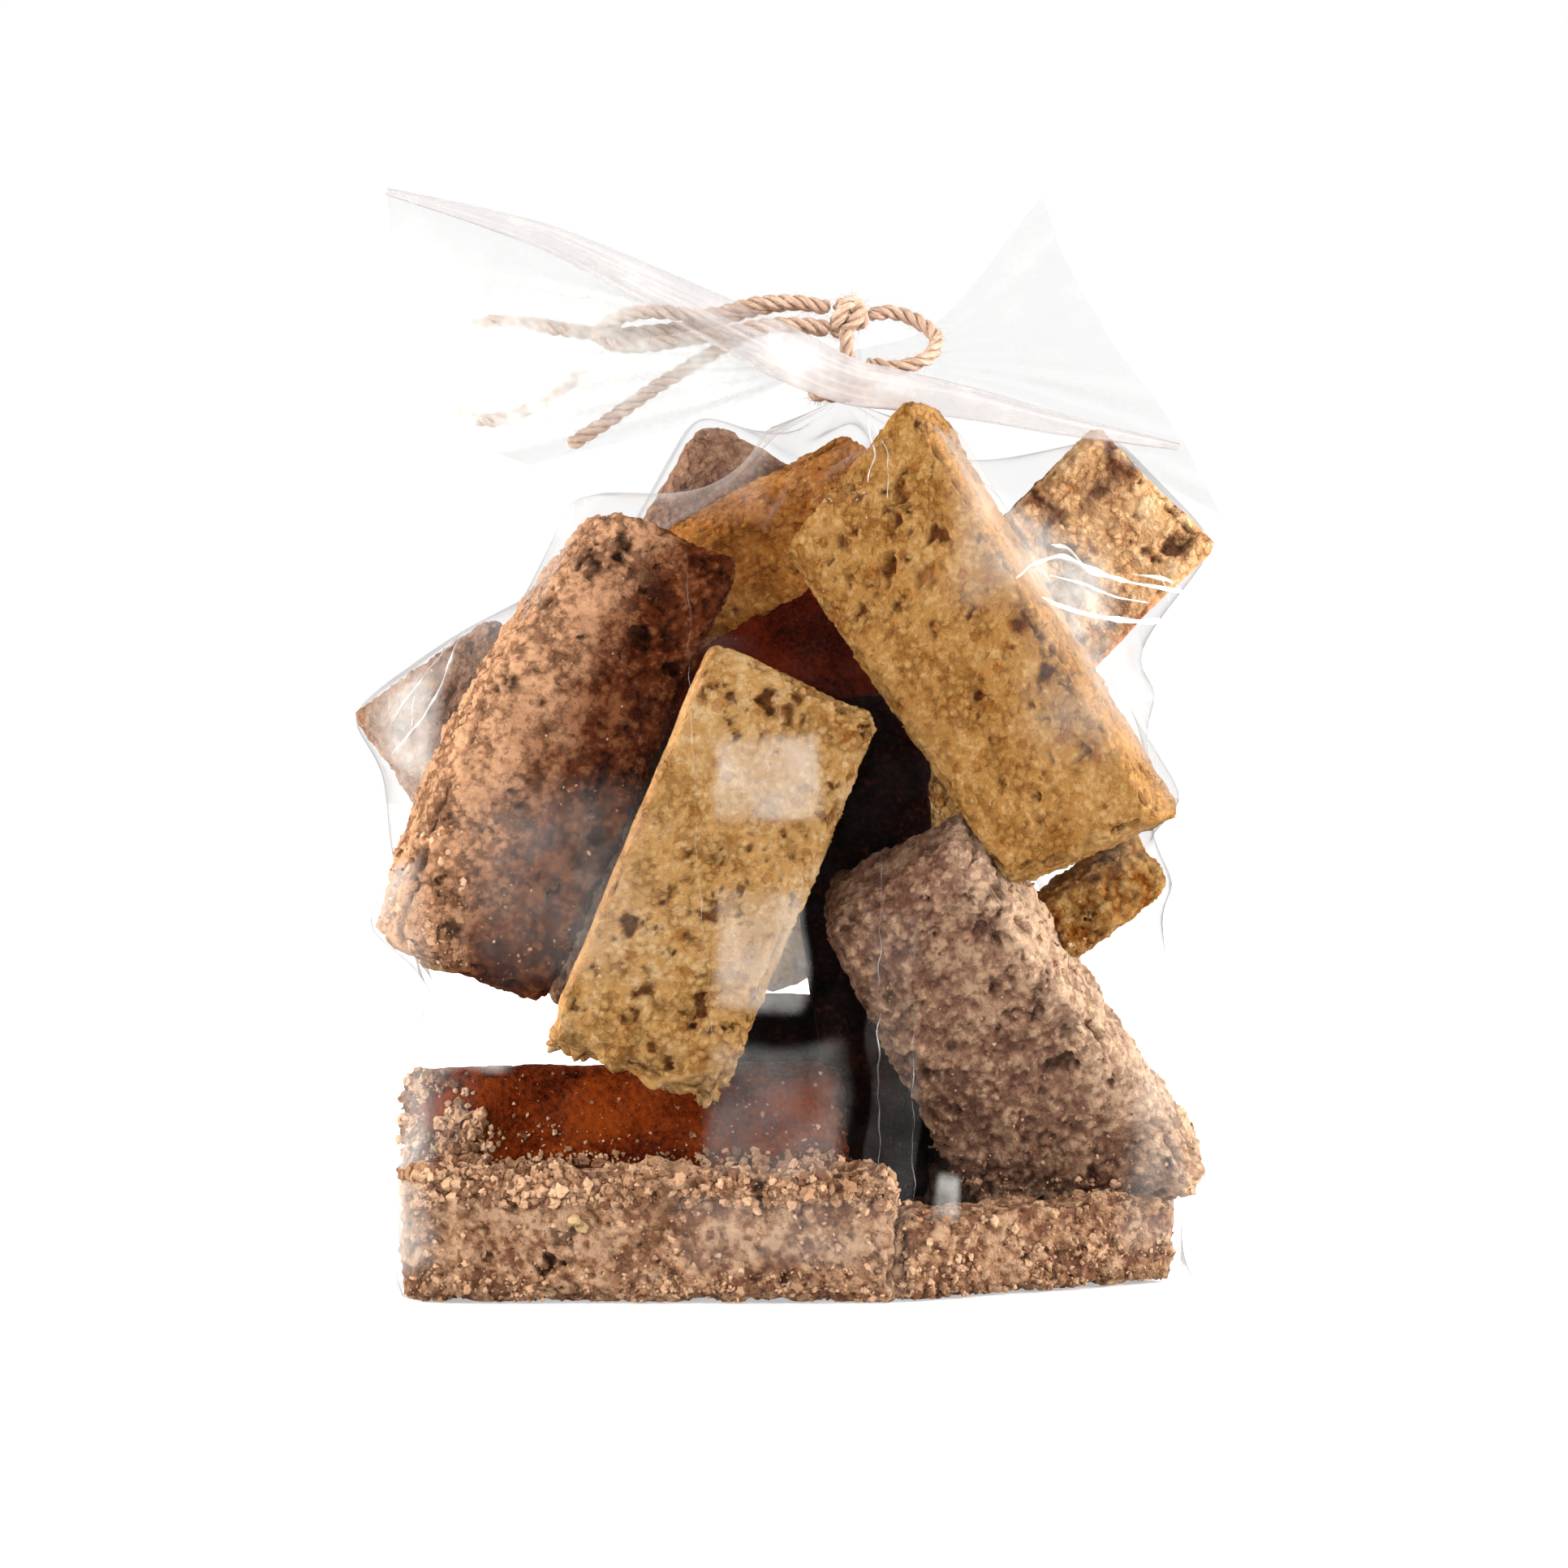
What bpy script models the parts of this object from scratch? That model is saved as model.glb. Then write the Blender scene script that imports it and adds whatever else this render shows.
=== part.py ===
# A clear film bag of assorted rusks, its neck gathered and tied with jute twine.
# The packed bag is one solid: the film drawn tight over the rusks, with its flat base and its
# gathered neck. The ruffle of loose film above the tie is another, with two wings and a rolled
# mouth. The twine is a tie of its own with two bow loops and two free tails.
# Lengths are in millimetres until a mesh is made.
# +X is to the right seen from the front, -Y is the front, the base stands on Z = 0.

import math

import bmesh
import bpy
import numpy as np
from mathutils import Matrix, Vector

MM = 0.001
weldDistance = 0.005

# Bag
baseLeft = 74.0
baseRight = 78.0
baseFront = 37.5
baseBack = 43.0
cornerSquareness = 7.0
slantedCornerSquareness = 1.5
filmClearance = 1.2
sideRings = 24
domeRings = 15
domeStart = 118.0
domeEndAngle = 72.0
pointsAround = 80
tighteningPasses = 900
tighteningPull = 1.0
startRadius = 100.0
heldDetail = 3
heldSoftening = 1
filmSoftening = 1

# How far the film reaches to the left and right of the axis, even where no rusk holds it out:
# height, left, right. Its depth there is a share of the base's depth.
sideReach = [
    (0.0, 73.0, 76.5),
    (55.0, 71.5, 74.0),
    (84.0, 78.0, 70.0),
    (108.0, 80.0, 69.0),
    (118.0, 77.0, 73.0),
]
airDepthShare = 0.3

# Neck and tie
neckCentre = (10.0, 0.0)
neckRadius = 3.4
neckBottom = 169.0
neckTop = 172.6
ruffleNeck = (172.9, 180.0)
ruffleNeckSides = 24
twineDiameter = 3.0
twineSides = 8
touchingGap = 0.35
tieTurnHeights = (171.3, 174.2)
tieTurnPoints = 28

# Loose film above the tie
wingThickness = 1.2
wingPleats = 5
wingPleatDepth = 1.5
leftPleatPhase = 0.4
rightPleatPhase = 1.7
wingRows = 8
wingColumns = 26

# Each rusk: centre x, y, z; length, width, thickness; tilt of its length in the front plane,
# lean of its top to the back, and turn about its own length, in degrees.
rusks = {
    "brown_left": (-43.0, -19.5, 102.8, 94, 35, 22, 26.0, 7, 15),
    "pale_middle": (-15.6, -25.6, 78.4, 84, 36, 22, 23.4, 3, 0),
    "pale_right": (34.6, -20.0, 119.0, 86, 37, 24, -31.5, 9, -14),
    "brown_right": (40.0, -7.0, 47.8, 85, 42, 21, -30.0, -24, -14),
    "crumb_bottom_left": (-26.6, -25.8, 12.3, 93, 23, 21, 90, 0, 0),
    "crust_bottom_left": (-32.0, 1.2, 22.5, 86, 38, 22, 89, 0, -14),
    "crumb_bottom_right": (47.0, -14.5, 10.0, 56, 17, 14, 90, 27, 0),
    "golden_chunk": (58.5, -6.0, 74.5, 27, 15, 16, 55, 0, 0),
    "golden_top": (-6.5, 14.5, 136.5, 62, 20, 22, 62, 0, 10),
    "dark_middle": (4.0, 14.0, 115.5, 60, 24, 18, 62, 0, 0),
    "marbled_top_right": (54.0, 17.0, 136.5, 50, 34, 22, 45, 0, 0),
    "brown_far_left": (-51.5, 7.5, 90.4, 70, 34, 20, -35, 0, 0),
    "dark_lying": (4.0, 28.0, 38.0, 78, 30, 22, 90, 0, 0),
    "dark_centre": (18.0, 8.0, 67.0, 78, 32, 15, -8, -6, 0),
    "brown_back_top": (-22.0, 34.5, 128.0, 76, 34, 17, 30, -7, 0),
    "pale_back_right": (36.0, 34.0, 65.0, 78, 32, 20, -30, 0, 0),
    "brown_back_bottom": (-30.0, 28.0, 12.3, 86, 23, 22, 90, 0, 0),
    "pale_back_left": (-58.0, 28.5, 86.0, 58, 28, 20, 8, -3, 0),
    "brown_back_corner": (48.0, 32.0, 11.3, 56, 21, 21, 90, 0, 0),
    "pale_back_middle": (-4.0, 34.5, 88.0, 66, 28, 19, -20, 0, 0),
}


def clearObjects():
    for item in list(bpy.data.objects):
        bpy.data.objects.remove(item)


def plainMaterial(name, colour, roughness, metallic=0.0):
    material = bpy.data.materials.new(name)
    material.use_nodes = True
    material.diffuse_color = (*colour, 1.0)
    shader = material.node_tree.nodes["Principled BSDF"]
    shader.inputs["Base Color"].default_value = (*colour, 1.0)
    shader.inputs["Roughness"].default_value = roughness
    shader.inputs["Metallic"].default_value = metallic
    return material


def addObject(name, data, material=None):
    item = bpy.data.objects.new(name, data)
    if material:
        data.materials.append(material)
    bpy.context.scene.collection.objects.link(item)
    return item


def rotationOf(tilt, lean, turn):
    inPlane = Matrix.Rotation(math.radians(tilt), 3, "Y")
    backwards = Matrix.Rotation(math.radians(-lean), 3, "X")
    aboutLength = Matrix.Rotation(math.radians(turn), 3, "Z")
    return inPlane @ backwards @ aboutLength


# The distance along each ray at which it leaves one rusk, and 0 where it misses.
def rayExit(origins, directions, rusk):
    x, y, z, length, width, thickness, tilt, lean, turn = rusk
    axes = np.array(rotationOf(tilt, lean, turn))
    start = (origins - np.array((x, y, z))) @ axes
    heading = directions @ axes
    heading = np.where(np.abs(heading) < 1e-9, 1e-9, heading)
    half = np.array((width, thickness, length)) / 2 + filmClearance
    toLow = (-half - start) / heading
    toHigh = (half - start) / heading
    enter = np.minimum(toLow, toHigh).max(axis=-1)
    leave = np.maximum(toLow, toHigh).min(axis=-1)
    return np.where((leave > enter) & (leave > 0), leave, 0.0)


# Distance from the axis to the base's outline: square corners, but the front right one slants.
def baseReach(angle):
    c, s = math.cos(angle), math.sin(angle)
    halfX = baseRight if c > 0 else baseLeft
    halfY = baseBack if s > 0 else baseFront
    slanted = c > 0 and s < 0
    power = slantedCornerSquareness if slanted else cornerSquareness
    return ((abs(c) / halfX) ** power + (abs(s) / halfY) ** power) ** (-1 / power)


# Directions round the axis, at even steps along the base's outline.
def evenAngles(count):
    fine = np.linspace(-math.pi, math.pi, 1441)
    reach = np.array([baseReach(angle) for angle in fine])
    outline = np.stack([np.cos(fine) * reach, np.sin(fine) * reach], axis=-1)
    steps = np.linalg.norm(np.diff(outline, axis=0), axis=1)
    along = np.concatenate([[0.0], np.cumsum(steps)])
    return np.interp(np.arange(count) * along[-1] / count, along, fine)


# Rays on which the film's points lie: level ones up the sides, then a fan over the shoulders.
def filmRays(detail):
    angles = evenAngles(pointsAround * detail)
    around = np.stack([np.cos(angles), np.sin(angles), np.zeros_like(angles)], axis=-1)
    origins, directions = [], []
    for ring in range(sideRings * detail):
        height = domeStart * ring / (sideRings * detail)
        origins.append(np.tile((0.0, 0.0, height), (len(angles), 1)))
        directions.append(around)
    for ring in range(domeRings * detail + 1):
        share = ring / (domeRings * detail)
        rise = math.radians(domeEndAngle) * share
        centre = (neckCentre[0] * share, neckCentre[1] * share, domeStart)
        origins.append(np.tile(centre, (len(angles), 1)))
        directions.append(around * math.cos(rise) + np.array((0, 0, math.sin(rise))))
    return around, np.array(origins), np.array(directions)


# Each value averaged with its neighbours round the bag and with the rings above and below.
def softened(values):
    rounded = (np.roll(values, 1, axis=1) + values * 2 + np.roll(values, -1, axis=1)) / 4
    padded = np.vstack([rounded[:1], rounded, rounded[-1:]])
    return (padded[:-2] + rounded * 2 + padded[2:]) / 4


# How far out each ray is held by the rusks, or on the sides by the air that keeps them apart.
def heldReach():
    around, origins, directions = filmRays(heldDetail)
    held = np.zeros(origins.shape[:2])
    for rusk in rusks.values():
        held = np.maximum(held, rayExit(origins, directions, rusk))
    heights, lefts, rights = zip(*sideReach)
    for ring in range(sideRings * heldDetail + 1):
        height = origins[ring, 0, 2]
        left, right = np.interp(height, heights, lefts), np.interp(height, heights, rights)
        halfX = np.where(around[:, 0] > 0, right, left)
        halfY = np.where(around[:, 1] > 0, baseBack, baseFront) * airDepthShare
        air = ((around[:, 0] / halfX) ** 2 + (around[:, 1] / halfY) ** 2) ** -0.5
        held[ring] = np.maximum(held[ring], air)
    for _ in range(heldSoftening):
        held = softened(held)
    return held[::heldDetail, ::heldDetail]


# Rings of the packed bag, from the base's rim to the neck. The film starts far out and is
# drawn in until it lies on the rusks or is stretched between them.
def filmRings():
    around, origins, directions = filmRays(1)
    held = heldReach()
    held[0] = [baseReach(angle) for angle in evenAngles(pointsAround)]
    neck = around * neckRadius + np.array((*neckCentre, neckBottom))
    reach = np.full_like(held, startRadius)
    reach[0] = held[0]
    for _ in range(tighteningPasses):
        film = np.vstack([origins + directions * reach[..., None], neck[None]])
        sides = np.roll(film, 1, axis=1) + np.roll(film, -1, axis=1)
        middle = (sides[1:-1] + film[:-2] + film[2:]) / 4
        drawn = ((middle - origins[1:]) * directions[1:]).sum(axis=-1) - tighteningPull
        reach[1:] = np.maximum(drawn, held[1:])
    for _ in range(filmSoftening):
        reach[1:-1] = softened(reach)[1:-1]
    neckRim = around * neckRadius + np.array((*neckCentre, neckTop))
    return np.vstack([origins + directions * reach[..., None], neck[None], neckRim[None]])


def ringMesh(name, rings):
    mesh = bmesh.new()
    rows = [[mesh.verts.new(Vector(point) * MM) for point in ring] for ring in rings]
    count = len(rows[0])
    for lower, upper in zip(rows, rows[1:]):
        for i in range(count):
            j = (i + 1) % count
            mesh.faces.new((lower[i], lower[j], upper[j], upper[i]))
    mesh.faces.new(list(reversed(rows[0])))
    mesh.faces.new(rows[-1])
    bmesh.ops.triangulate(mesh, faces=mesh.faces[:])
    bmesh.ops.recalc_face_normals(mesh, faces=mesh.faces[:])
    data = bpy.data.meshes.new(name)
    mesh.to_mesh(data)
    mesh.free()
    return data


# Points read at even steps from a smooth curve through the points given.
def smoothPath(points, steps):
    points = [Vector(point) for point in points]
    padded = [2 * points[0] - points[1], *points, 2 * points[-1] - points[-2]]
    dense = []
    for before, start, end, after in zip(padded, padded[1:], padded[2:], padded[3:]):
        for k in range(20):
            t = k / 20
            bend = 2 * before - 5 * start + 4 * end - after
            twist = -before + 3 * start - 3 * end + after
            dense.append((2 * start + (end - before) * t + bend * t * t + twist * t ** 3) / 2)
    dense.append(points[-1])
    along = [0.0]
    for start, end in zip(dense, dense[1:]):
        along.append(along[-1] + (end - start).length)
    path, k = [], 0
    for step in range(steps + 1):
        goal = along[-1] * step / steps
        while k < len(dense) - 2 and along[k + 1] < goal:
            k += 1
        share = (goal - along[k]) / (along[k + 1] - along[k])
        path.append(dense[k].lerp(dense[k + 1], min(max(share, 0.0), 1.0)))
    return path


# A wing of loose film fans out from the neck over the lines given, with pleats that deepen
# outwards. It is a thin closed leaf with the same triangles on both faces.
def wingMesh(name, guides, phase):
    rows, columns = wingRows, wingColumns
    lines = [smoothPath(guide, columns) for guide in guides]
    front, back = [], []
    fan = [smoothPath(points, rows) for points in zip(*lines)]
    for row in range(rows + 1):
        for column in range(columns + 1):
            swing = math.sin(2 * math.pi * wingPleats * column / columns + phase)
            pleat = wingPleatDepth * swing * row / rows
            front.append(fan[column][row] + Vector((0, pleat - wingThickness / 2, 0)))
            back.append(fan[column][row] + Vector((0, pleat + wingThickness / 2, 0)))
    mesh = bmesh.new()
    sheets = [[mesh.verts.new(point * MM) for point in side] for side in (front, back)]
    wide = columns + 1
    for side in sheets:
        for row in range(rows):
            for column in range(columns):
                k = row * wide + column
                mesh.faces.new((side[k], side[k + 1], side[k + wide + 1]))
                mesh.faces.new((side[k], side[k + wide + 1], side[k + wide]))
    last = rows * wide
    rim = [k for k in range(wide)]
    rim += [row * wide + columns for row in range(1, rows + 1)]
    rim += [last + k for k in range(columns - 1, -1, -1)]
    rim += [row * wide for row in range(rows - 1, 0, -1)]
    for k, following in zip(rim, rim[1:] + rim[:1]):
        a, b = sheets[0][k], sheets[0][following]
        c, d = sheets[1][following], sheets[1][k]
        mesh.faces.new((a, b, c))
        mesh.faces.new((a, c, d))
    bmesh.ops.recalc_face_normals(mesh, faces=mesh.faces[:])
    data = bpy.data.meshes.new(name)
    mesh.to_mesh(data)
    mesh.free()
    return data


# The rolled mouth of the bag: a flat spindle of many layers, tall in the middle.
def rolledMouthMesh(name, centres, heights):
    steps, sides, depth = mouthSteps, mouthSides, mouthDepth
    path = smoothPath(centres, steps)
    tall = smoothPath([(height, 0, 0) for height in heights], steps)
    rings = []
    for k, centre in enumerate(path):
        share = tall[k].x / max(heights)
        ahead = path[min(k + 1, steps)] - path[max(k - 1, 0)]
        upward = Vector((-ahead.z, 0, ahead.x)).normalized()
        ring = []
        for side in range(sides):
            angle = 2 * math.pi * side / sides
            rise = upward * (tall[k].x / 2 * math.sin(angle))
            push = Vector((0, depth / 2 * (0.3 + 0.7 * share) * math.cos(angle), 0))
            ring.append(centre + rise + push)
        rings.append(ring)
    return ringMesh(name, rings)


# One solid of a base object and the pieces that run into it.
def fuse(base, pieces):
    group = bpy.data.collections.new(base.name + "_pieces")
    bpy.context.scene.collection.children.link(group)
    for piece in pieces:
        bpy.context.scene.collection.objects.unlink(piece)
        group.objects.link(piece)
    union = base.modifiers.new("Fuse", "BOOLEAN")
    union.operation = "UNION"
    union.operand_type = "COLLECTION"
    union.collection = group
    union.solver = "EXACT"
    union.use_self = True
    bpy.context.view_layer.update()
    evaluated = base.evaluated_get(bpy.context.evaluated_depsgraph_get())
    fused = bpy.data.meshes.new_from_object(evaluated)
    base.modifiers.clear()
    base.data = fused
    for piece in pieces:
        bpy.data.objects.remove(piece)
    bpy.data.collections.remove(group)
    mesh = bmesh.new()
    mesh.from_mesh(fused)
    bmesh.ops.remove_doubles(mesh, verts=mesh.verts[:], dist=weldDistance * MM)
    bmesh.ops.dissolve_degenerate(mesh, edges=mesh.edges[:], dist=weldDistance * MM)
    bmesh.ops.triangulate(mesh, faces=mesh.faces[:])
    mesh.to_mesh(fused)
    mesh.free()


def shadeSmooth(item, angle):
    item.data.shade_smooth()
    item.data.set_sharp_from_angle(angle=math.radians(angle))


# The left wing hangs forwards of the bow, the right wing stands behind it. Each line goes
# from the wing's lower edge to its upper edge, or back.
leftWing = [
    [(8.3, -0.6, 178.0), (8.3, -0.6, 178.7), (8.3, -0.6, 179.4)],
    [(1.5, -9.6, 174.0), (1.0, -10.0, 176.5), (0.5, -11.0, 179.5)],
    [(-20.0, -11.0, 165.0), (-28.0, -11.5, 176.0), (-34.0, -13.5, 194.0)],
    [
        (-50.0, -13.0, 157.0),
        (-66.0, -15.0, 166.0),
        (-68.0, -15.0, 177.0),
        (-73.0, -15.0, 190.0),
        (-75.5, -15.0, 199.0),
        (-76.6, -15.0, 209.0),
    ],
]
rightWing = [
    [(11.5, 0.8, 179.4), (11.5, 0.8, 178.4), (11.5, 0.8, 177.4)],
    [(29.0, 6.0, 186.0), (37.0, 6.0, 180.0), (41.0, 3.0, 174.0), (42.0, 0.0, 169.0)],
    [
        (49.0, 11.0, 210.5),
        (54.0, 10.0, 197.0),
        (63.0, 7.0, 181.0),
        (74.0, 1.0, 165.0),
        (82.5, -5.0, 148.0),
    ],
]

# The rolled mouth runs from the left wing's tip past the front of the tie to the right.
mouthCentres = [
    (-76.6, -15.0, 208.6),
    (-58.0, -15.5, 203.5),
    (-43.0, -15.0, 198.5),
    (-21.0, -14.0, 188.0),
    (-5.0, -13.5, 180.0),
    (10.0, -12.5, 173.2),
    (20.0, -13.0, 171.2),
    (36.0, -11.0, 168.4),
    (52.0, -7.0, 165.0),
    (75.0, -0.5, 161.0),
]
mouthHeights = [1.4, 2.2, 4.0, 8.0, 9.5, 9.0, 7.0, 5.0, 3.0, 1.4]
mouthDepth = 4.6
mouthSteps = 22
mouthSides = 8

# The knot stands over the tie, and a riser joins them in front of the neck.
knotCentre = (11.0, -0.9, 185.6)
knotSize = (6.6, 8.4, 8.4)
knotRounding = 1.7
riserRoute = [(10.5, -5.2, 174.2), (10.8, -6.0, 178.0), (10.6, -4.4, 182.0), (11.0, -1.5, 185.0)]

# Free twine: its route by hand, and the number of points read from it.
freeTwine = {
    "twine_loop_right": (
        [
            (15.15, -0.5, 186.4),
            (19.5, 0.6, 187.0),
            (24.5, -0.3, 185.2),
            (28.0, -3.4, 181.6),
            (26.0, -7.2, 177.6),
            (20.0, -8.4, 175.8),
            (14.5, -7.2, 176.6),
        ],
        12,
    ),
    "twine_loop_left": (
        [
            (7.2, -3.0, 187.4),
            (1.6, -3.5, 188.6),
            (-6.2, -3.5, 188.4),
            (-16.0, -3.0, 186.2),
            (-27.0, -2.5, 186.9),
            (-33.5, -3.2, 185.4),
            (-36.8, -5.2, 182.4),
            (-33.5, -6.8, 180.2),
            (-27.0, -6.9, 180.2),
            (-20.0, -6.6, 181.3),
            (-11.0, -6.4, 182.8),
            (-4.0, -5.8, 184.0),
            (2.5, -4.6, 184.2),
            (7.2, -3.4, 183.6),
        ],
        24,
    ),
    "twine_tail_long": (
        [
            (7.3, 1.6, 188.2),
            (0.0, 4.5, 189.0),
            (-8.0, 4.2, 187.6),
            (-18.0, 2.2, 184.6),
            (-28.0, 0.9, 183.2),
            (-36.0, -0.8, 182.6),
            (-44.0, -4.0, 183.4),
            (-51.0, -7.0, 184.3),
            (-58.8, -9.0, 184.0),
            (-66.0, -10.0, 180.0),
            (-67.6, -10.0, 172.6),
            (-63.3, -9.6, 167.2),
            (-55.7, -8.8, 165.9),
            (-46.3, -7.0, 170.0),
            (-39.5, -5.6, 176.0),
        ],
        28,
    ),
    "twine_tail_short": (
        [
            (7.15, 1.2, 183.6),
            (0.0, 2.6, 184.6),
            (-7.0, 2.0, 183.6),
            (-14.8, -0.6, 179.3),
            (-21.0, -2.4, 175.4),
            (-27.4, -3.4, 171.4),
            (-35.3, -4.0, 165.8),
            (-42.5, -4.0, 161.2),
        ],
        14,
    ),
}


def makeBag():
    packed = plainMaterial("packed_rusks", (0.72, 0.46, 0.24), 0.35)
    bag = addObject("rusk_bag", ringMesh("rusk_bag", filmRings()), packed)
    shadeSmooth(bag, 40)


def circle(radius, height, count):
    x, y = neckCentre
    angles = [2 * math.pi * k / count for k in range(count)]
    return [(x + radius * math.cos(a), y + radius * math.sin(a), height) for a in angles]


def makeRuffle():
    film = plainMaterial("clear_film", (0.80, 0.79, 0.79), 0.12)
    neck = [circle(neckRadius, height, ruffleNeckSides) for height in ruffleNeck]
    ruffle = addObject("film_ruffle", ringMesh("film_ruffle", neck), film)
    left = addObject("left_wing", wingMesh("left_wing", leftWing, leftPleatPhase))
    right = addObject("right_wing", wingMesh("right_wing", rightWing, rightPleatPhase))
    mouth = addObject("mouth", rolledMouthMesh("mouth", mouthCentres, mouthHeights))
    fuse(ruffle, [left, right, mouth])
    shadeSmooth(ruffle, 40)


# A round strand of twine: an open one has filled ends, a closed one is a ring.
def strand(name, points, closed=False):
    curve = bpy.data.curves.new(name, "CURVE")
    curve.dimensions = "3D"
    curve.bevel_depth = twineDiameter / 2 * MM
    curve.bevel_resolution = twineSides // 2 - 2
    curve.use_fill_caps = not closed
    spline = curve.splines.new("POLY")
    spline.points.add(len(points) - 1)
    spline.use_cyclic_u = closed
    for target, point in zip(spline.points, points):
        target.co = (*(Vector(point) * MM), 1.0)
    return curve


# The same strand as a mesh object, to be fused with others.
def solidStrand(name, points, closed=False):
    item = addObject(name, strand(name, points, closed))
    bpy.context.view_layer.update()
    evaluated = item.evaluated_get(bpy.context.evaluated_depsgraph_get())
    data = bpy.data.meshes.new_from_object(evaluated)
    bpy.data.objects.remove(item)
    return addObject(name, data)


def makeTie(jute):
    ringRadius = neckRadius + touchingGap + twineDiameter / 2
    turns = []
    for number, height in enumerate(tieTurnHeights):
        ring = circle(ringRadius, height, tieTurnPoints)
        turns.append(solidStrand(f"tie_turn_{number}", ring, closed=True))
    riser = solidStrand("riser", smoothPath(riserRoute, 5))
    mesh = bmesh.new()
    bmesh.ops.create_cube(mesh, size=1.0)
    bmesh.ops.scale(mesh, vec=Vector(knotSize) * MM, verts=mesh.verts)
    bmesh.ops.bevel(
        mesh, geom=mesh.edges[:], offset=knotRounding * MM, segments=2, profile=0.5, affect="EDGES"
    )
    bmesh.ops.translate(mesh, vec=Vector(knotCentre) * MM, verts=mesh.verts)
    data = bpy.data.meshes.new("twine_tie")
    mesh.to_mesh(data)
    mesh.free()
    tie = addObject("twine_tie", data, jute)
    fuse(tie, [*turns, riser])
    shadeSmooth(tie, 50)


def makeFreeTwine(jute):
    for name, (route, steps) in freeTwine.items():
        addObject(name, strand(name, smoothPath(route, steps)), jute)


clearObjects()
makeBag()
makeRuffle()
juteTwine = plainMaterial("jute_twine", (0.62, 0.43, 0.27), 0.9)
makeTie(juteTwine)
makeFreeTwine(juteTwine)
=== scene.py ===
from math import cos, pi, radians, sin

import bmesh
import bpy
import numpy as np
from mathutils import Euler, Matrix, Vector, noise
from mathutils.bvhtree import BVHTree


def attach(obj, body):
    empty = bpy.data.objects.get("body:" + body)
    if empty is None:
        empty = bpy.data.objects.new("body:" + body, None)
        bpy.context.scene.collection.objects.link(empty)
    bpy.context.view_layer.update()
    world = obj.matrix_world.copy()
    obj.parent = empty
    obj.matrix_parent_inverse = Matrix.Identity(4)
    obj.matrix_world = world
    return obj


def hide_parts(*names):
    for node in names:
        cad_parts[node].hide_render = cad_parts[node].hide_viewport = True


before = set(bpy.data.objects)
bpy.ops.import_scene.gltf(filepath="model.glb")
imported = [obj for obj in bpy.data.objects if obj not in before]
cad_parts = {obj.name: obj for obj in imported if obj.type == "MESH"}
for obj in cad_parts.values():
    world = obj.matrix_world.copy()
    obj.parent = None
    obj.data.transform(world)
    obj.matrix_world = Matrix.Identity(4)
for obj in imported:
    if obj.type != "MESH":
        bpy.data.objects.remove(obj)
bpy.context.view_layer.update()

# A clear bag of rusks tied with jute twine. Lengths are in millimetres until a mesh is made.
mm = 0.001
noise.seed_set(3)  # else the vector noise differs from run to run


# One output socket of a node tree, on which ordinary arithmetic adds Math nodes.
class Wire:
    def __init__(self, graph, socket):
        self.graph = graph
        self.socket = socket

    def also(self, output):  # another output of the same node
        return Wire(self.graph, self.socket.node.outputs[output])

    def __abs__(self):
        return self.graph.maths("ABSOLUTE", self)


signs = {"add": "ADD", "sub": "SUBTRACT", "mul": "MULTIPLY", "truediv": "DIVIDE", "pow": "POWER"}
for sign, operation in signs.items():  # each in both orders, so that 1 - mask works
    setattr(Wire, f"__{sign}__", lambda own, other, how=operation: own.graph.maths(how, own, other))
    setattr(Wire, f"__r{sign}__", lambda own, other, how=operation: own.graph.maths(how, other, own))


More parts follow.
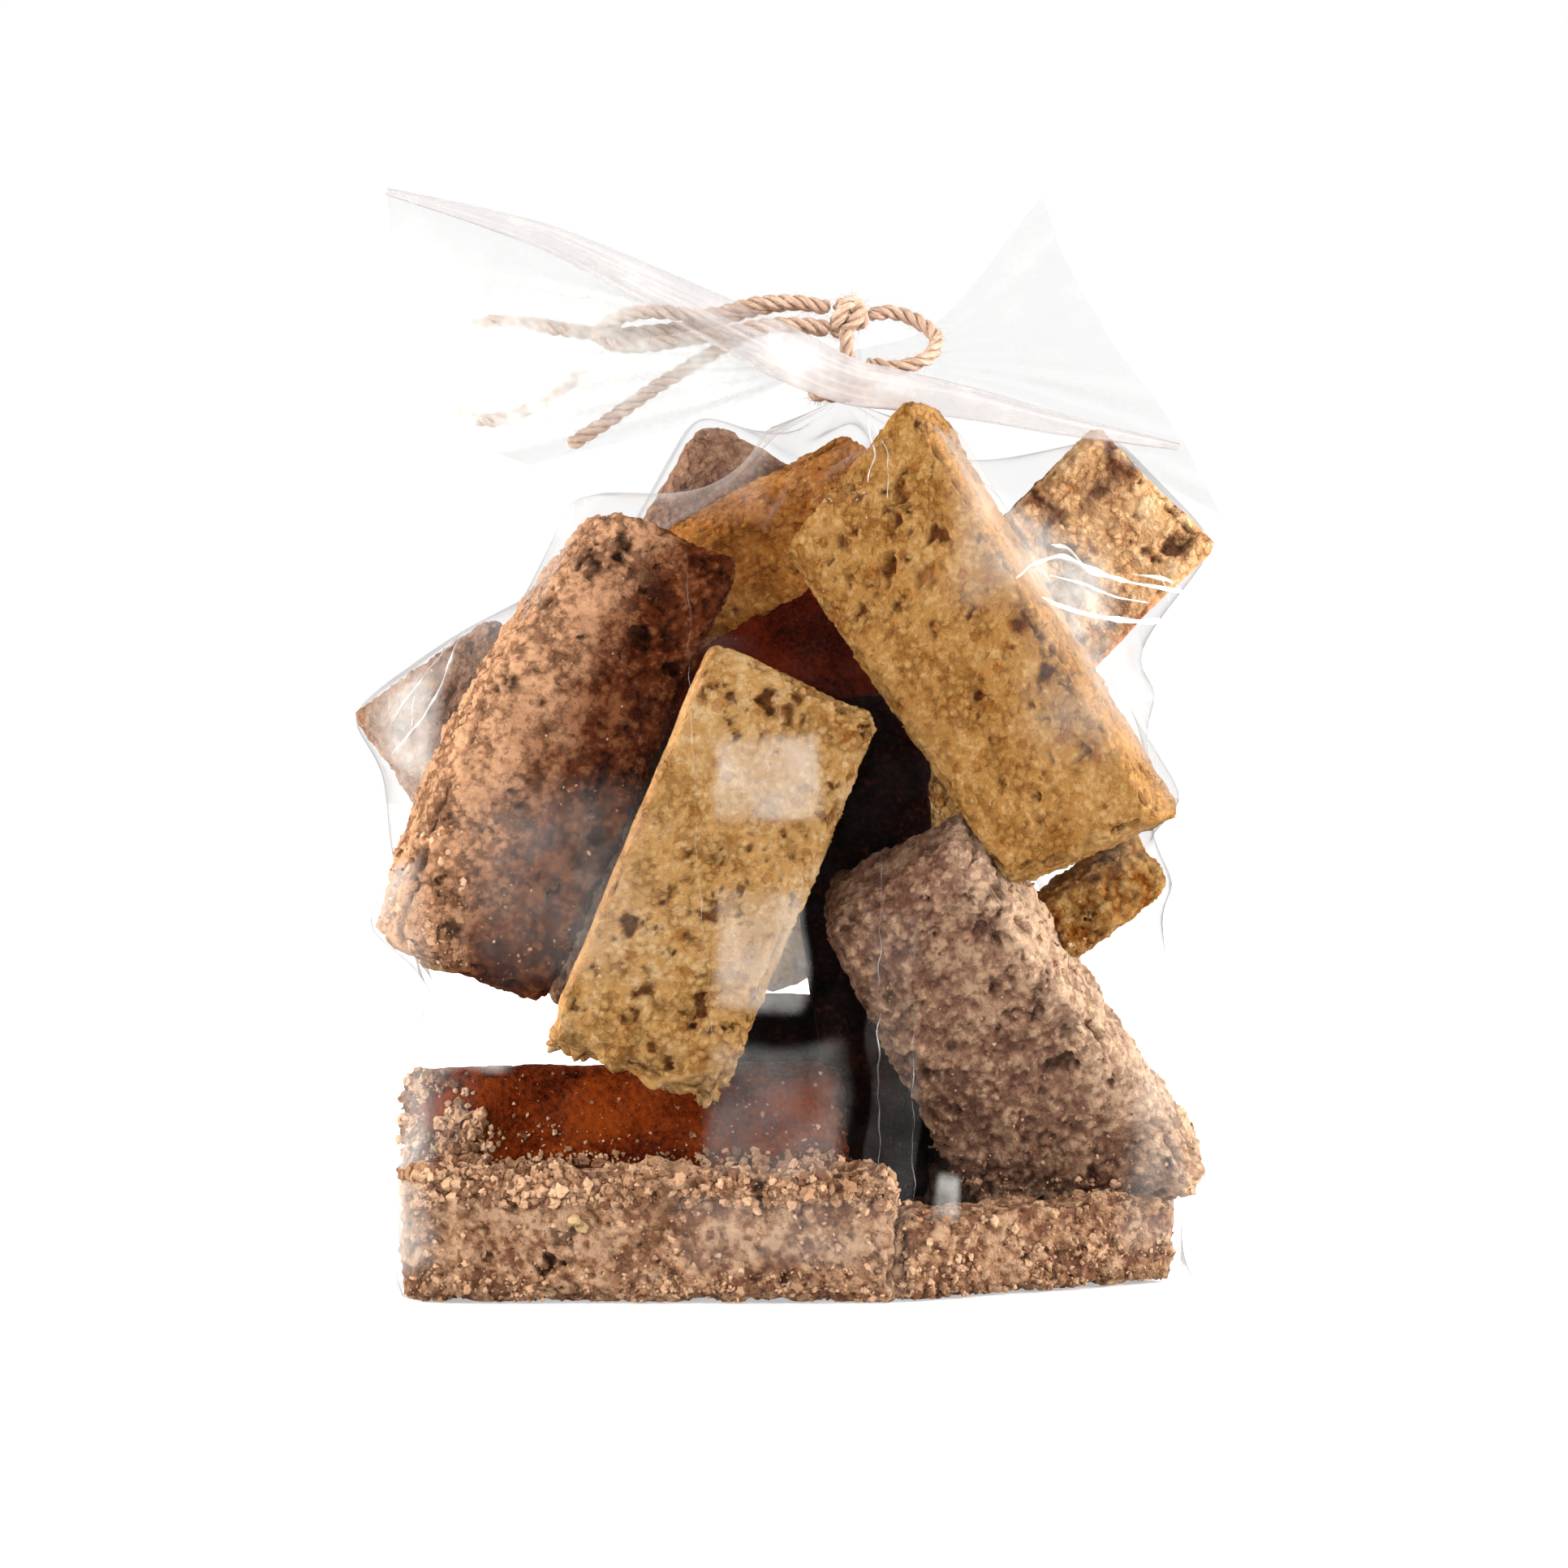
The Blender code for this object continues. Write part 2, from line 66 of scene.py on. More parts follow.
# The node tree of a material or a world.
class Graph:
    def __init__(self, owner):
        owner.use_nodes = True
        self.owner = owner
        self.tree = owner.node_tree
        self.tree.nodes.clear()

    # Adds a node: its type without the leading ShaderNode, its settings, then what goes into it.
    def node(self, kind, settings=None, values=None, output=0):
        made = self.tree.nodes.new("ShaderNode" + kind)
        for name, value in (settings or {}).items():
            setattr(made, name, value)
        for name, value in (values or {}).items():
            if isinstance(value, Wire):
                self.tree.links.new(value.socket, made.inputs[name])
            else:
                made.inputs[name].default_value = value
        return Wire(self, made.outputs[output]) if made.outputs else made

    def maths(self, operation, *terms):
        return self.node("Math", {"operation": operation}, dict(enumerate(terms)))

    # A vector moved on by a multiple of another.
    def moved(self, start, other, factor):
        scaled = self.node("VectorMath", {"operation": "SCALE"}, {0: other, 3: factor})
        return self.node("VectorMath", {"operation": "ADD"}, {0: scaled, 1: start})

    # 0 at low and below, 1 at high and above, with a smooth rise between.
    def ease(self, wire, low, high):
        settings = {"interpolation_type": "SMOOTHSTEP"}
        return self.node("MapRange", settings, {0: wire, 1: low, 2: high, 3: 0.0, 4: 1.0})

    def blend(self, first, second, factor):
        return self.node("Mix", {"data_type": "RGBA"}, {0: factor, 6: first, 7: second}, output=2)

    def noise(self, place, size, detail=3.0, rough=0.55, **more):
        values = {"Vector": place, "Scale": 1 / size, "Detail": detail, "Roughness": rough, **more}
        return self.node("TexNoise", {}, values)

    def cells(self, place, size):
        return self.node("TexVoronoi", {}, {"Vector": place, "Scale": 1 / size})

    def attribute(self, name, output="Fac"):
        return self.node("Attribute", {"attribute_name": name}, output=output)

    # Where the point is in its own object, in millimetres, shifted so that no two pieces match.
    def place(self, shift=(0.0, 0.0, 0.0)):
        return self.moved(shift, self.node("TexCoord", output="Object"), 1000.0)

    def bump(self, height, distance, strength):
        values = {"Height": height, "Distance": distance * mm, "Strength": strength}
        return self.node("Bump", {}, values)

    def mixed(self, factor, first, second):
        return self.node("MixShader", {}, {0: factor, 1: first, 2: second})

    def principled(self, colour, roughness, shine, **more):
        values = {"Base Color": colour, "Roughness": roughness, "Specular IOR Level": shine, **more}
        return self.finished(self.node("BsdfPrincipled", {}, values))

    # Ends a material with its shader.
    def finished(self, shader):
        self.node("OutputMaterial", {}, {"Surface": shader})
        return self.owner


def tint(code):
    channels = [int(code[k : k + 2], 16) / 255 for k in (0, 2, 4)]
    return (*[c / 12.92 if c <= 0.04045 else ((c + 0.055) / 1.055) ** 2.4 for c in channels], 1.0)


def tints(codes):
    return [tint(code) for code in codes.split()]


def linked(name, data):
    item = bpy.data.objects.new(name, data)
    bpy.context.scene.collection.objects.link(item)
    return item


def addMesh(name, points, faces, material, attributes=None, smooth=True):
    data = bpy.data.meshes.new(name)
    data.from_pydata((np.asarray(points) * mm).tolist(), [], np.asarray(faces).tolist())
    for key, values in (attributes or {}).items():
        values = np.asarray(values, dtype=np.float32)
        kind, field = ("FLOAT", "value") if values.ndim == 1 else ("FLOAT_VECTOR", "vector")
        data.attributes.new(key, kind, "POINT").data.foreach_set(field, values.ravel())
    if smooth:
        data.shade_smooth()
    data.materials.append(material)
    return linked(name, data)


# Adds a piece that stands for a CAD node.
def addPiece(node, *mesh, placed=None, **more):
    item = addMesh(*mesh, **more)
    if placed:
        item.matrix_world = placed
    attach(item, "root")
    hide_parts(node)
    return item


# Joins several (points, faces) pairs into one.
def joined(parts):
    points, faces, start = [], [], 0
    for own, ownFaces in parts:
        points.append(np.asarray(own))
        faces.append(np.asarray(ownFaces) + start)
        start += len(own)
    return np.vstack(points), np.vstack(faces)


def gridFaces(rows, columns, wrap=False):
    across = columns if wrap else columns - 1
    i, j = np.meshgrid(np.arange(rows - 1), np.arange(across), indexing="ij")
    k = (j + 1) % columns
    a, b = i * columns + j, i * columns + k
    c, d = (i + 1) * columns + k, (i + 1) * columns + j
    return np.stack([a, b, c, d], axis=-1).reshape(-1, 4)


def unit(vectors):
    return vectors / np.linalg.norm(vectors, axis=-1, keepdims=True)


def alongOf(path):
    return np.concatenate([[0.0], np.cumsum(np.linalg.norm(np.diff(path, axis=0), axis=1))])


def lengthOf(path):
    return float(np.linalg.norm(np.diff(path, axis=0), axis=1).sum())


# Points read at even steps from a smooth curve through the points given.
def smoothPath(points, steps):
    points = [Vector(point) for point in points]
    padded = [2 * points[0] - points[1], *points, 2 * points[-1] - points[-2]]
    dense = []
    for before, start, end, after in zip(padded, padded[1:], padded[2:], padded[3:]):
        for k in range(20):
            t = k / 20
            bend = 2 * before - 5 * start + 4 * end - after
            twist = -before + 3 * start - 3 * end + after
            dense.append((2 * start + (end - before) * t + bend * t * t + twist * t ** 3) / 2)
    dense.append(points[-1])
    dense = np.array([tuple(point) for point in dense])
    along = alongOf(dense)
    goals = np.linspace(0, along[-1], steps + 1)
    return np.stack([np.interp(goals, along, dense[:, k]) for k in range(3)], axis=-1)


# A smooth random number that belongs to a place.
def wobble(x, y, z=0.0):
    return noise.noise(Vector((x, y, z)))


camera = {"lens": 100.0, "sensor": 36.0, "aim": (-1.35, -38.0, 96.9), "distance": 805.0, "rise": 1.5}


def cameraEye():
    rise = radians(camera["rise"])
    back = Vector((0, -cos(rise), sin(rise))) * camera["distance"]
    return Vector(camera["aim"]) + back


def makeCamera():
    data = bpy.data.cameras.new("camera")
    data.lens = camera["lens"]
    data.sensor_width = camera["sensor"]
    data.clip_start = 0.05
    item = linked("camera", data)
    item.location = cameraEye() * mm
    item.rotation_euler = (radians(90 - camera["rise"]), 0, 0)
    bpy.context.scene.camera = item


makeCamera()
print("camera ready")


twine = {
    "diameter": 3.0,
    "plies": 3,
    "plyOffset": 0.50,  # of the strand's radius
    "plyRadius": 0.56,
    "twist": 8.5,  # one turn of the plies
    "swell": 0.06,  # how uneven it is
    "endTaper": 0.72,
    "step": 0.6,
    "sides": 18,
    "hairsPerMm": 9.0,
    "hairLength": (0.8, 3.0),
    "hairWidth": 0.05,
    "hairReach": 1.5,  # no hair stands further off than this
    "tones": "dfc4ae bb9880 846457",
    "seed": 5,
}
tieRing = {"centre": (10.0, 0.0), "radius": 5.25, "heights": (171.3, 174.2), "points": 25}
riserRoute = [(10.5, -5.2, 174.2), (10.8, -6, 178), (10.6, -4.4, 182), (11, -1.5, 185)]
knotWraps = [
    [(8.6, -3.4, 183.4), (9.6, -4.6, 186.4), (11.4, -3.4, 188.6), (13.2, 0.2, 187.4), (12.4, 1.8, 184)],
    [(13.6, -3, 187.8), (12.4, -4.4, 185.2), (10.2, -3.6, 183.2), (8.8, -0.4, 183.6), (9, 1.8, 186.4)],
    [(8.8, -1.6, 187.6), (10.6, -3.2, 188.2), (13, -2.6, 186.6), (13.6, -0.8, 184.2)],
]
looseTwine = {  # what each ends at, and its route
    "twine_loop_right": ("object", [
        (15.15, -0.5, 186.4), (19.5, 0.6, 187), (24.5, -0.3, 185.2), (28, -3.4, 181.6),
        (26, -7.2, 177.6), (20, -8.4, 175.8), (14.5, -7.2, 176.6),
    ]),
    "twine_loop_left": ("object", [
        (7.2, -3, 187.4), (1.6, -3.5, 188.6), (-6.2, -3.5, 188.4), (-16, -3, 186.2),
        (-27, -2.5, 186.9), (-33.5, -3.2, 185.4), (-36.8, -5.2, 182.4), (-33.5, -6.8, 180.2),
        (-27, -6.9, 180.2), (-20, -6.6, 181.3), (-11, -6.4, 182.8), (-4, -5.8, 184),
        (2.5, -4.6, 184.2), (7.2, -3.4, 183.6),
    ]),
    "twine_tail_long": ("bare", [
        (7.3, 1.6, 188.2), (0, 4.5, 189), (-8, 4.2, 187.6), (-18, 2.2, 184.6), (-28, 0.9, 183.2),
        (-36, -0.8, 182.6), (-44, -4, 183.4), (-51, -7, 184.3), (-58.8, -9, 184), (-66, -10, 180),
        (-67.6, -10, 172.6), (-63.3, -9.6, 167.2), (-55.7, -8.8, 165.9), (-46.3, -7, 170),
        (-39.5, -5.6, 176),
    ]),
    "twine_tail_short": ("bare", [
        (7.15, 1.2, 183.6), (0, 2.6, 184.6), (-7, 2, 183.6), (-14.8, -0.6, 179.3),
        (-21, -2.4, 175.4), (-27.4, -3.4, 171.4), (-35.3, -4, 165.8), (-42.5, -4, 161.2),
    ]),
}


def twineMaterial():
    g = Graph(bpy.data.materials.new("jute_twine"))
    light, middle, dark = tints(twine["tones"])
    fibres = g.noise(g.attribute("lay", output="Vector"), 1.0, 4.0, 0.7)
    patches = g.noise(g.place(), 3.0)
    # Painted shade: the grooves between the plies are darkened.
    sunk = g.ease(g.attribute("groove") + (0.5 - fibres) * 0.9, 0.35, 1.05)
    colour = g.blend(middle, light, g.ease(fibres + patches * 0.5, 0.62, 0.95))
    colour = g.blend(colour, dark, sunk * 0.85)
    return g.principled(colour, 0.92, 0.2, Normal=g.bump(fibres, 0.25, 0.9))


# Directions square to a path, carried along it without twist.
def carriedFrames(path):
    ahead = unit(np.gradient(path, axis=0))
    side = unit(np.cross(ahead[0], (0.0, 0.3, 1.0)))
    sides, ups = [], []
    for direction in ahead:
        side = unit(side - direction * side.dot(direction))
        sides.append(side)
        ups.append(np.cross(direction, side))
    return ahead, np.array(sides), np.array(ups)


# A strand of plies twisted round each other along the route, with hairs standing off it.
def strandParts(route, dice):
    radius, count = twine["diameter"] / 2, twine["sides"]
    steps = max(6, round(lengthOf(smoothPath(route, 400)) / twine["step"]))
    path = smoothPath(route, steps)
    ahead, sides, ups = carriedFrames(path)
    angles = np.arange(count) * 2 * pi / count
    reach = plyReach(angles)
    gone = np.arange(steps + 1) * (lengthOf(path) / steps)
    spread = angles[None] + (gone * 2 * pi / twine["twist"])[:, None]
    swell = [[wobble(k * 0.21, angle * 1.3, radius) for angle in angles] for k in range(steps + 1)]
    out = reach * radius * (1 + twine["swell"] * np.array(swell))
    out[[0, -1]] *= twine["endTaper"]
    ring = sides[:, None] * np.cos(spread)[..., None] + ups[:, None] * np.sin(spread)[..., None]
    points = (path[:, None] + ring * out[..., None]).reshape(-1, 3)
    points = np.vstack([points, path[:1] - ahead[:1] * 0.3, path[-1:] + ahead[-1:] * 0.3])
    faces = gridFaces(steps + 1, count, wrap=True)
    k = np.arange(count)
    j = (k + 1) % count
    start, end, lastRing = len(points) - 2, len(points) - 1, steps * count
    triangles = [faces[:, [0, 1, 2]], faces[:, [0, 2, 3]]]
    triangles.append(np.stack([np.full(count, start), j, k], axis=-1))
    triangles.append(np.stack([np.full(count, end), lastRing + k, lastRing + j], axis=-1))
    hairPoints, hairFaces = hairParts(path, ahead, sides, ups, dice)
    triangles.append(hairFaces + len(points))
    points = np.vstack([points, hairPoints])
    ply = np.tile(angles, steps + 1)
    lay = np.stack([ply * 5.0, np.repeat(gone, count) * 0.9, np.full_like(ply, route[0][0])], axis=-1)
    lay = np.vstack([lay, lay[-2:], hairPoints * 2.0])
    groove = np.tile((reach.max() - reach) / (reach.max() - reach.min()), steps + 1)
    groove = np.concatenate([groove, [0.5, 0.5], np.zeros(len(hairPoints))])
    return points, np.vstack(triangles), lay, groove, path


# How far the plies reach from the middle of the strand, at each angle round it.
def plyReach(angles):
    offset, own = twine["plyOffset"], twine["plyRadius"]
    best = np.zeros_like(angles)
    for ply in range(twine["plies"]):
        apart = angles - 2 * pi * ply / twine["plies"]
        root = own**2 - (offset * np.sin(apart)) ** 2
        reach = offset * np.cos(apart) + np.sqrt(np.maximum(root, 0.0))
        best = np.maximum(best, np.where(root > 0, reach, 0.0))
    return best / best.max()


def hairParts(path, ahead, sides, ups, dice):
    radius = twine["diameter"] / 2
    farthest = radius + twine["hairReach"]
    amount = int(lengthOf(path) * twine["hairsPerMm"])
    points, faces = [], []
    for _ in range(amount):
        k = int(dice.integers(1, len(path) - 1))
        angle = dice.uniform(0, 2 * pi)
        away = sides[k] * cos(angle) + ups[k] * sin(angle)
        across = np.cross(ahead[k], away)
        slant = ahead[k] * dice.choice([-1, 1]) * dice.uniform(0.4, 1.6) + across * dice.uniform(-0.8, 0.8)
        length = dice.uniform(*twine["hairLength"])
        root = path[k] + away * radius * 0.75
        heading = unit(away * dice.uniform(0.15, 0.9) + slant)
        bend = dice.normal(size=3) * 0.25
        base = len(points)
        for step in range(4):
            share = step / 3
            offset = root + heading * length * share + bend * share**2 - path[k]
            beyond = np.linalg.norm(offset - ahead[k] * offset.dot(ahead[k]))
            spot = path[k] + offset * min(1.0, farthest / beyond)
            half = across * twine["hairWidth"] * (1 - 0.7 * share)
            points += [spot - half, spot + half]
        for a in range(base, base + 6, 2):
            faces += [(a, a + 1, a + 3), (a, a + 3, a + 2)]
    return np.reshape(points, (-1, 3)), np.reshape(faces, (-1, 3)).astype(int)


def makeTwine():
    jute = twineMaterial()
    dice = np.random.default_rng(twine["seed"])
    (x, y), radius = tieRing["centre"], tieRing["radius"]
    angles = np.linspace(0, 2 * pi, tieRing["points"])
    turns = [
        [(x + radius * cos(a), y + radius * sin(a), height) for a in angles]
        for height in tieRing["heights"]
    ]
    parts = [strandParts(route, dice) for route in [*turns, riserRoute, *knotWraps]]
    points, faces = joined([part[:2] for part in parts])
    lay = np.vstack([part[2] for part in parts])
    groove = np.concatenate([part[3] for part in parts])
    addPiece("twine_tie", "twine_knot", points, faces, jute, {"lay": lay, "groove": groove})
    for name, (end, route) in looseTwine.items():
        points, faces, lay, groove, path = strandParts(route, dice)
        strand = addPiece(name, name + "_jute", points, faces, jute, {"lay": lay, "groove": groove})
        [tuple(point * mm) for point in path]
        print("cord", name, round(lengthOf(path), 1), "mm")


makeTwine()
print("twine ready")


# Each rusk: centre; length, width, thickness; tilt in the front plane, lean of its top to the
# back and turn about its own length, in degrees. Its look says the kind and its own features.
rusks = {
    "brown_left": (-43, -19.5, 102.8, 94, 35, 22, 26, 7, 15),
    "pale_middle": (-15.6, -25.6, 78.4, 84, 36, 22, 23.4, 3, 0),
    "pale_right": (34.6, -20, 119, 86, 37, 24, -31.5, 9, -14),
    "brown_right": (40, -7, 47.8, 85, 42, 21, -30, -24, -14),
    "crumb_bottom_left": (-26.6, -25.8, 13, 93, 26, 21, 90, 0, 0),
    "crust_bottom_left": (-32, 1.2, 22.5, 86, 38, 22, 89, 0, -14),
    "crumb_bottom_right": (47, -14.5, 9.2, 56, 18, 14, 90, 27, 0),
    "golden_chunk": (58.5, -6, 74.5, 27, 15, 16, 55, 0, 0),
    "golden_top": (-8, 14.5, 139.5, 62, 26, 22, 62, 0, 10),
    "dark_middle": (4, 14, 115.5, 60, 24, 18, 62, 0, 0),
    "marbled_top_right": (54, 17, 136.5, 50, 34, 22, 45, 0, 0),
    "brown_far_left": (-51.5, 7.5, 90.4, 70, 34, 20, -35, 0, 0),
    "dark_lying": (4, 28, 38, 78, 30, 22, 90, 0, 0),
    "dark_centre": (18, 8, 67, 78, 32, 15, -8, -6, 0),
    "brown_back_top": (-22, 34.5, 128, 76, 34, 17, 30, -7, 0),
    "pale_back_right": (36, 34, 65, 78, 32, 20, -30, 0, 0),
    "brown_back_bottom": (-30, 28, 12.3, 86, 23, 22, 90, 0, 0),
    "pale_back_left": (-58, 28.5, 86, 58, 28, 20, 8, -3, 0),
    "brown_back_corner": (48, 32, 11.3, 56, 21, 21, 90, 0, 0),
    "pale_back_middle": (-4, 34.5, 88, 66, 28, 19, -20, 0, 0),
}
frontRusks = list(rusks)[:12]  # the others lie behind these
ruskForm = {
    "frontCell": 0.62,
    "backCell": 1.25,
    "round": 2.4,
    "pitDepth": 2.6,
    "wear": 0.6,
    "floor": 0.3,  # as high as the film that they rest on
}

# Colours of each kind: raised, level and sunk crumb, the sunk one darker as painted shade; the pits, a
# painted shade that also colours spots and streaks; its crust light and dark; and its paler side, partly
# its own tone and partly painted light.
ruskKinds = {
    "cream": "b2956d a17a48 7c4406 6a2a02 c89c6a ab7846 cdb594",
    "golden": "b08c5a 996e3a 7c3e02 6e2602 c2925c ab7a44 cdae7e",
    "amber": "c48c4e a86a30 7c3c06 4a1c00 cf9760 b0713a cdae7e",
    "marbled": "e2c096 cfa070 a05c34 4a1a16 e0a878 c07c4c e0c0a0",
    "brown": "76472a 552811 341305 140302 6d3715 391504 d2a27c",
    "bran": "ad8d71 8e6a55 6f4e40 3e241c 92623a 562f15 dcbb9c",
    # Near black: painted shade, for rusks that lie deep in shadow between the others.
    "dark": "3a160a 1c0703 0b0201 040000 3a1406 160402 3a160a",
    "rubble": "bf9b7c a37b5c 7c5540 45281e 92623a 562f15 e6c3a2",
    # Dark reddish brown: a dark bake, darkened further as painted shade for a face in shadow.
    "baked": "6c240c 3e1004 1c0502 0b0100 6b2208 300a02 7a2c10",
    "glazed": "8d461b 591b04 340901 150201 8e3c0c 420c01 9c6236",
}

# What sets each rusk apart: its kind, the sides with crust (local x, y, z directions), how far across it is
# pale (shares of its half width; partly its own paler crumb, partly painted light on the side that a side
# lamp lights), moved corners (x and z, in mm), how far its left side bulges, rounding, pits, coarseness of
# its crumb, how smooth its crust is, how broken its lower end is, how uneven its top is, dark ribbons.
ruskLooks = {
    "brown_left": {
        "kind": "brown", "pale": (0.15, -0.9), "round": 3.4, "pits": 0.65, "coarse": 0.8,
        "corners": ((3, -3), (-4, 0), (2, -1), (0, 2)), "bulge": 6.0,
    },
    "pale_middle": {
        "kind": "cream", "crust": [(-1, 0, 0)], "pits": 0.8, "round": 3.4, "broken": 1.3,
        "corners": ((0, 0), (0, -1), (1, 0), (1, 3)),
    },
    "pale_right": {
        "kind": "golden", "crust": [(1, 0, 0)], "pits": 0.7, "round": 4.0, "smooth": 0.2,
        "corners": ((0, -5), (1, 6), (3, 3), (-1, -2)),
    },
    "brown_right": {
        "kind": "bran", "pale": (0.45, 0.98), "pits": 0.6, "coarse": 1.0, "round": 4.5,
        "corners": ((3, 0), (-4, 2), (-1, -1), (3, -4)),
    },
    "crumb_bottom_left": {"kind": "rubble", "pits": 0.3, "coarse": 1.4, "round": 3.4, "heap": 3.0},
    "crust_bottom_left": {
        "kind": "glazed", "crust": [(-1, 0, 0), (0, -1, 0)], "pits": 0.4, "coarse": 0.8, "round": 6.0,
    },
    "crumb_bottom_right": {
        "kind": "rubble", "pits": 0.3, "coarse": 1.4, "round": 3.4, "heap": 1.5,
        "corners": ((0, 0), (0, 0), (0, -6), (0, -6)),
    },
    "golden_chunk": {"kind": "golden", "pits": 0.5, "coarse": 0.7, "round": 4.0, "broken": 1.0},
    "golden_top": {"kind": "amber", "pits": 0.2, "round": 5.0},
    # Its colour is partly painted shade: its front face lies in shadow.
    "dark_middle": {
        "kind": "baked", "crust": [(0, -1, 0)], "pits": 0.3, "corners": ((-6, 0), (0, 0), (-6, 0), (0, 0)),
    },
    "marbled_top_right": {"kind": "marbled", "crust": [(1, 0, 0)], "pits": 0.6, "streak": True},
    "brown_far_left": {"kind": "bran", "pits": 0.6},
    # These two stand for rusks in deep shade: their near-black colour is painted shade.
    "dark_lying": {"kind": "dark", "crust": [(-1, 0, 0)], "pits": 0.4},
    "dark_centre": {"kind": "dark", "pits": 0.4, "corners": ((0, 9), (0, 6), (0, -14), (-14, -14))},
    "brown_back_top": {
        "kind": "bran", "crust": [(0, 1, 0)], "pits": 0.5, "round": 6.0,
        "corners": ((0, 0), (0, 0), (0, -7), (2, -7)),
    },
    "pale_back_right": {"kind": "cream", "crust": [(1, 0, 0)], "pits": 0.4},
    "brown_back_bottom": {"kind": "brown", "crust": [(-1, 0, 0)], "pits": 0.5, "coarse": 0.5},
    "pale_back_left": {"kind": "golden", "crust": [(-1, 0, 0)], "pits": 0.4},
    "brown_back_corner": {"kind": "bran", "pits": 0.5, "coarse": 0.6},
    "pale_back_middle": {"kind": "golden", "crust": [(0, 1, 0)], "pits": 0.4},
}


def rotationOf(tilt, lean, turn):
    inPlane = Matrix.Rotation(radians(tilt), 3, "Y")
    backwards = Matrix.Rotation(radians(-lean), 3, "X")
    return inPlane @ backwards @ Matrix.Rotation(radians(turn), 3, "Z")


# A closed box with an even grid on every face and its corners rounded.
def roundedBox(size, radius, cell):
    half = np.array(size) / 2
    index, faces = {}, []
    counts = [max(2, round(length / cell)) for length in size]
    for axis in range(3):
        u, v = [k for k in range(3) if k != axis]
        for end in (0, counts[axis]):
            for i in range(counts[u]):
                for j in range(counts[v]):
                    quad = []
                    for di, dj in ((0, 0), (1, 0), (1, 1), (0, 1)):
                        key = [0, 0, 0]
                        key[axis], key[u], key[v] = end, i + di, j + dj
                        quad.append(index.setdefault(tuple(key), len(index)))
                    outwards = (end > 0) == (axis != 1)
                    faces.append(quad if outwards else quad[::-1])
    flat = (np.array(list(index)) / counts - 0.5) * size
    core = np.clip(flat, -(half - radius), half - radius)
    away = flat - core
    length = np.linalg.norm(away, axis=1, keepdims=True)
    inside = length[:, 0] < 1e-6
    normal = away / np.maximum(length, 1e-6)
    normal[inside] = np.eye(3)[np.argmax(np.abs(flat[inside]) / half, axis=1)] * np.sign(flat[inside])
    return core + normal * radius, normal, np.array(faces)


def within(value, highest=1.0):
    return min(highest, max(0.0, value))


# A number between 0 and 1 that belongs to a place.
def chanceAt(spot):
    return sin(spot.dot((12.99, 78.23, 37.72))) * 4375.85 % 1.0


# How deep an angular hollow is at a point: some cells of a warped cell pattern are sunk.
def hollowAt(spot, size, share):
    warped = spot / size + noise.noise_vector(spot / (size * 0.5)) * 0.55
    distances, centres = noise.voronoi(warped)
    if chanceAt(centres[0]) > share:
        return 0.0
    inside = within((distances[1] - distances[0]) * 2.8 - 0.12)
    return inside * (0.45 + 0.55 * chanceAt(centres[0] * 1.7))


# How far the crumb stands above or below its level at a point, and how much of that is a pit.
def crumbRelief(spot, coarse, pits):
    lump = noise.fractal(spot / 5.0, 0.9, 2.1, 3)
    warped = spot + noise.noise_vector(spot / 2.1) * 1.1
    distances = noise.voronoi(warped / (1.5 + 0.5 * coarse))[0]
    granule = 0.5 - distances[0] * 0.9
    fine = noise.fractal(spot / 0.95, 0.7, 2.0, 2)
    density = pits * (0.6 + 0.9 * noise.noise(spot / 15.0))
    pit = max(hollowAt(spot, 4.4, 0.20 * density), 0.6 * hollowAt(spot, 2.2, 0.20 * density + 0.01))
    rise = (0.50 + 0.30 * coarse) * lump + (0.50 + 0.60 * coarse) * granule + (0.36 + 0.10 * coarse) * fine
    return rise, pit


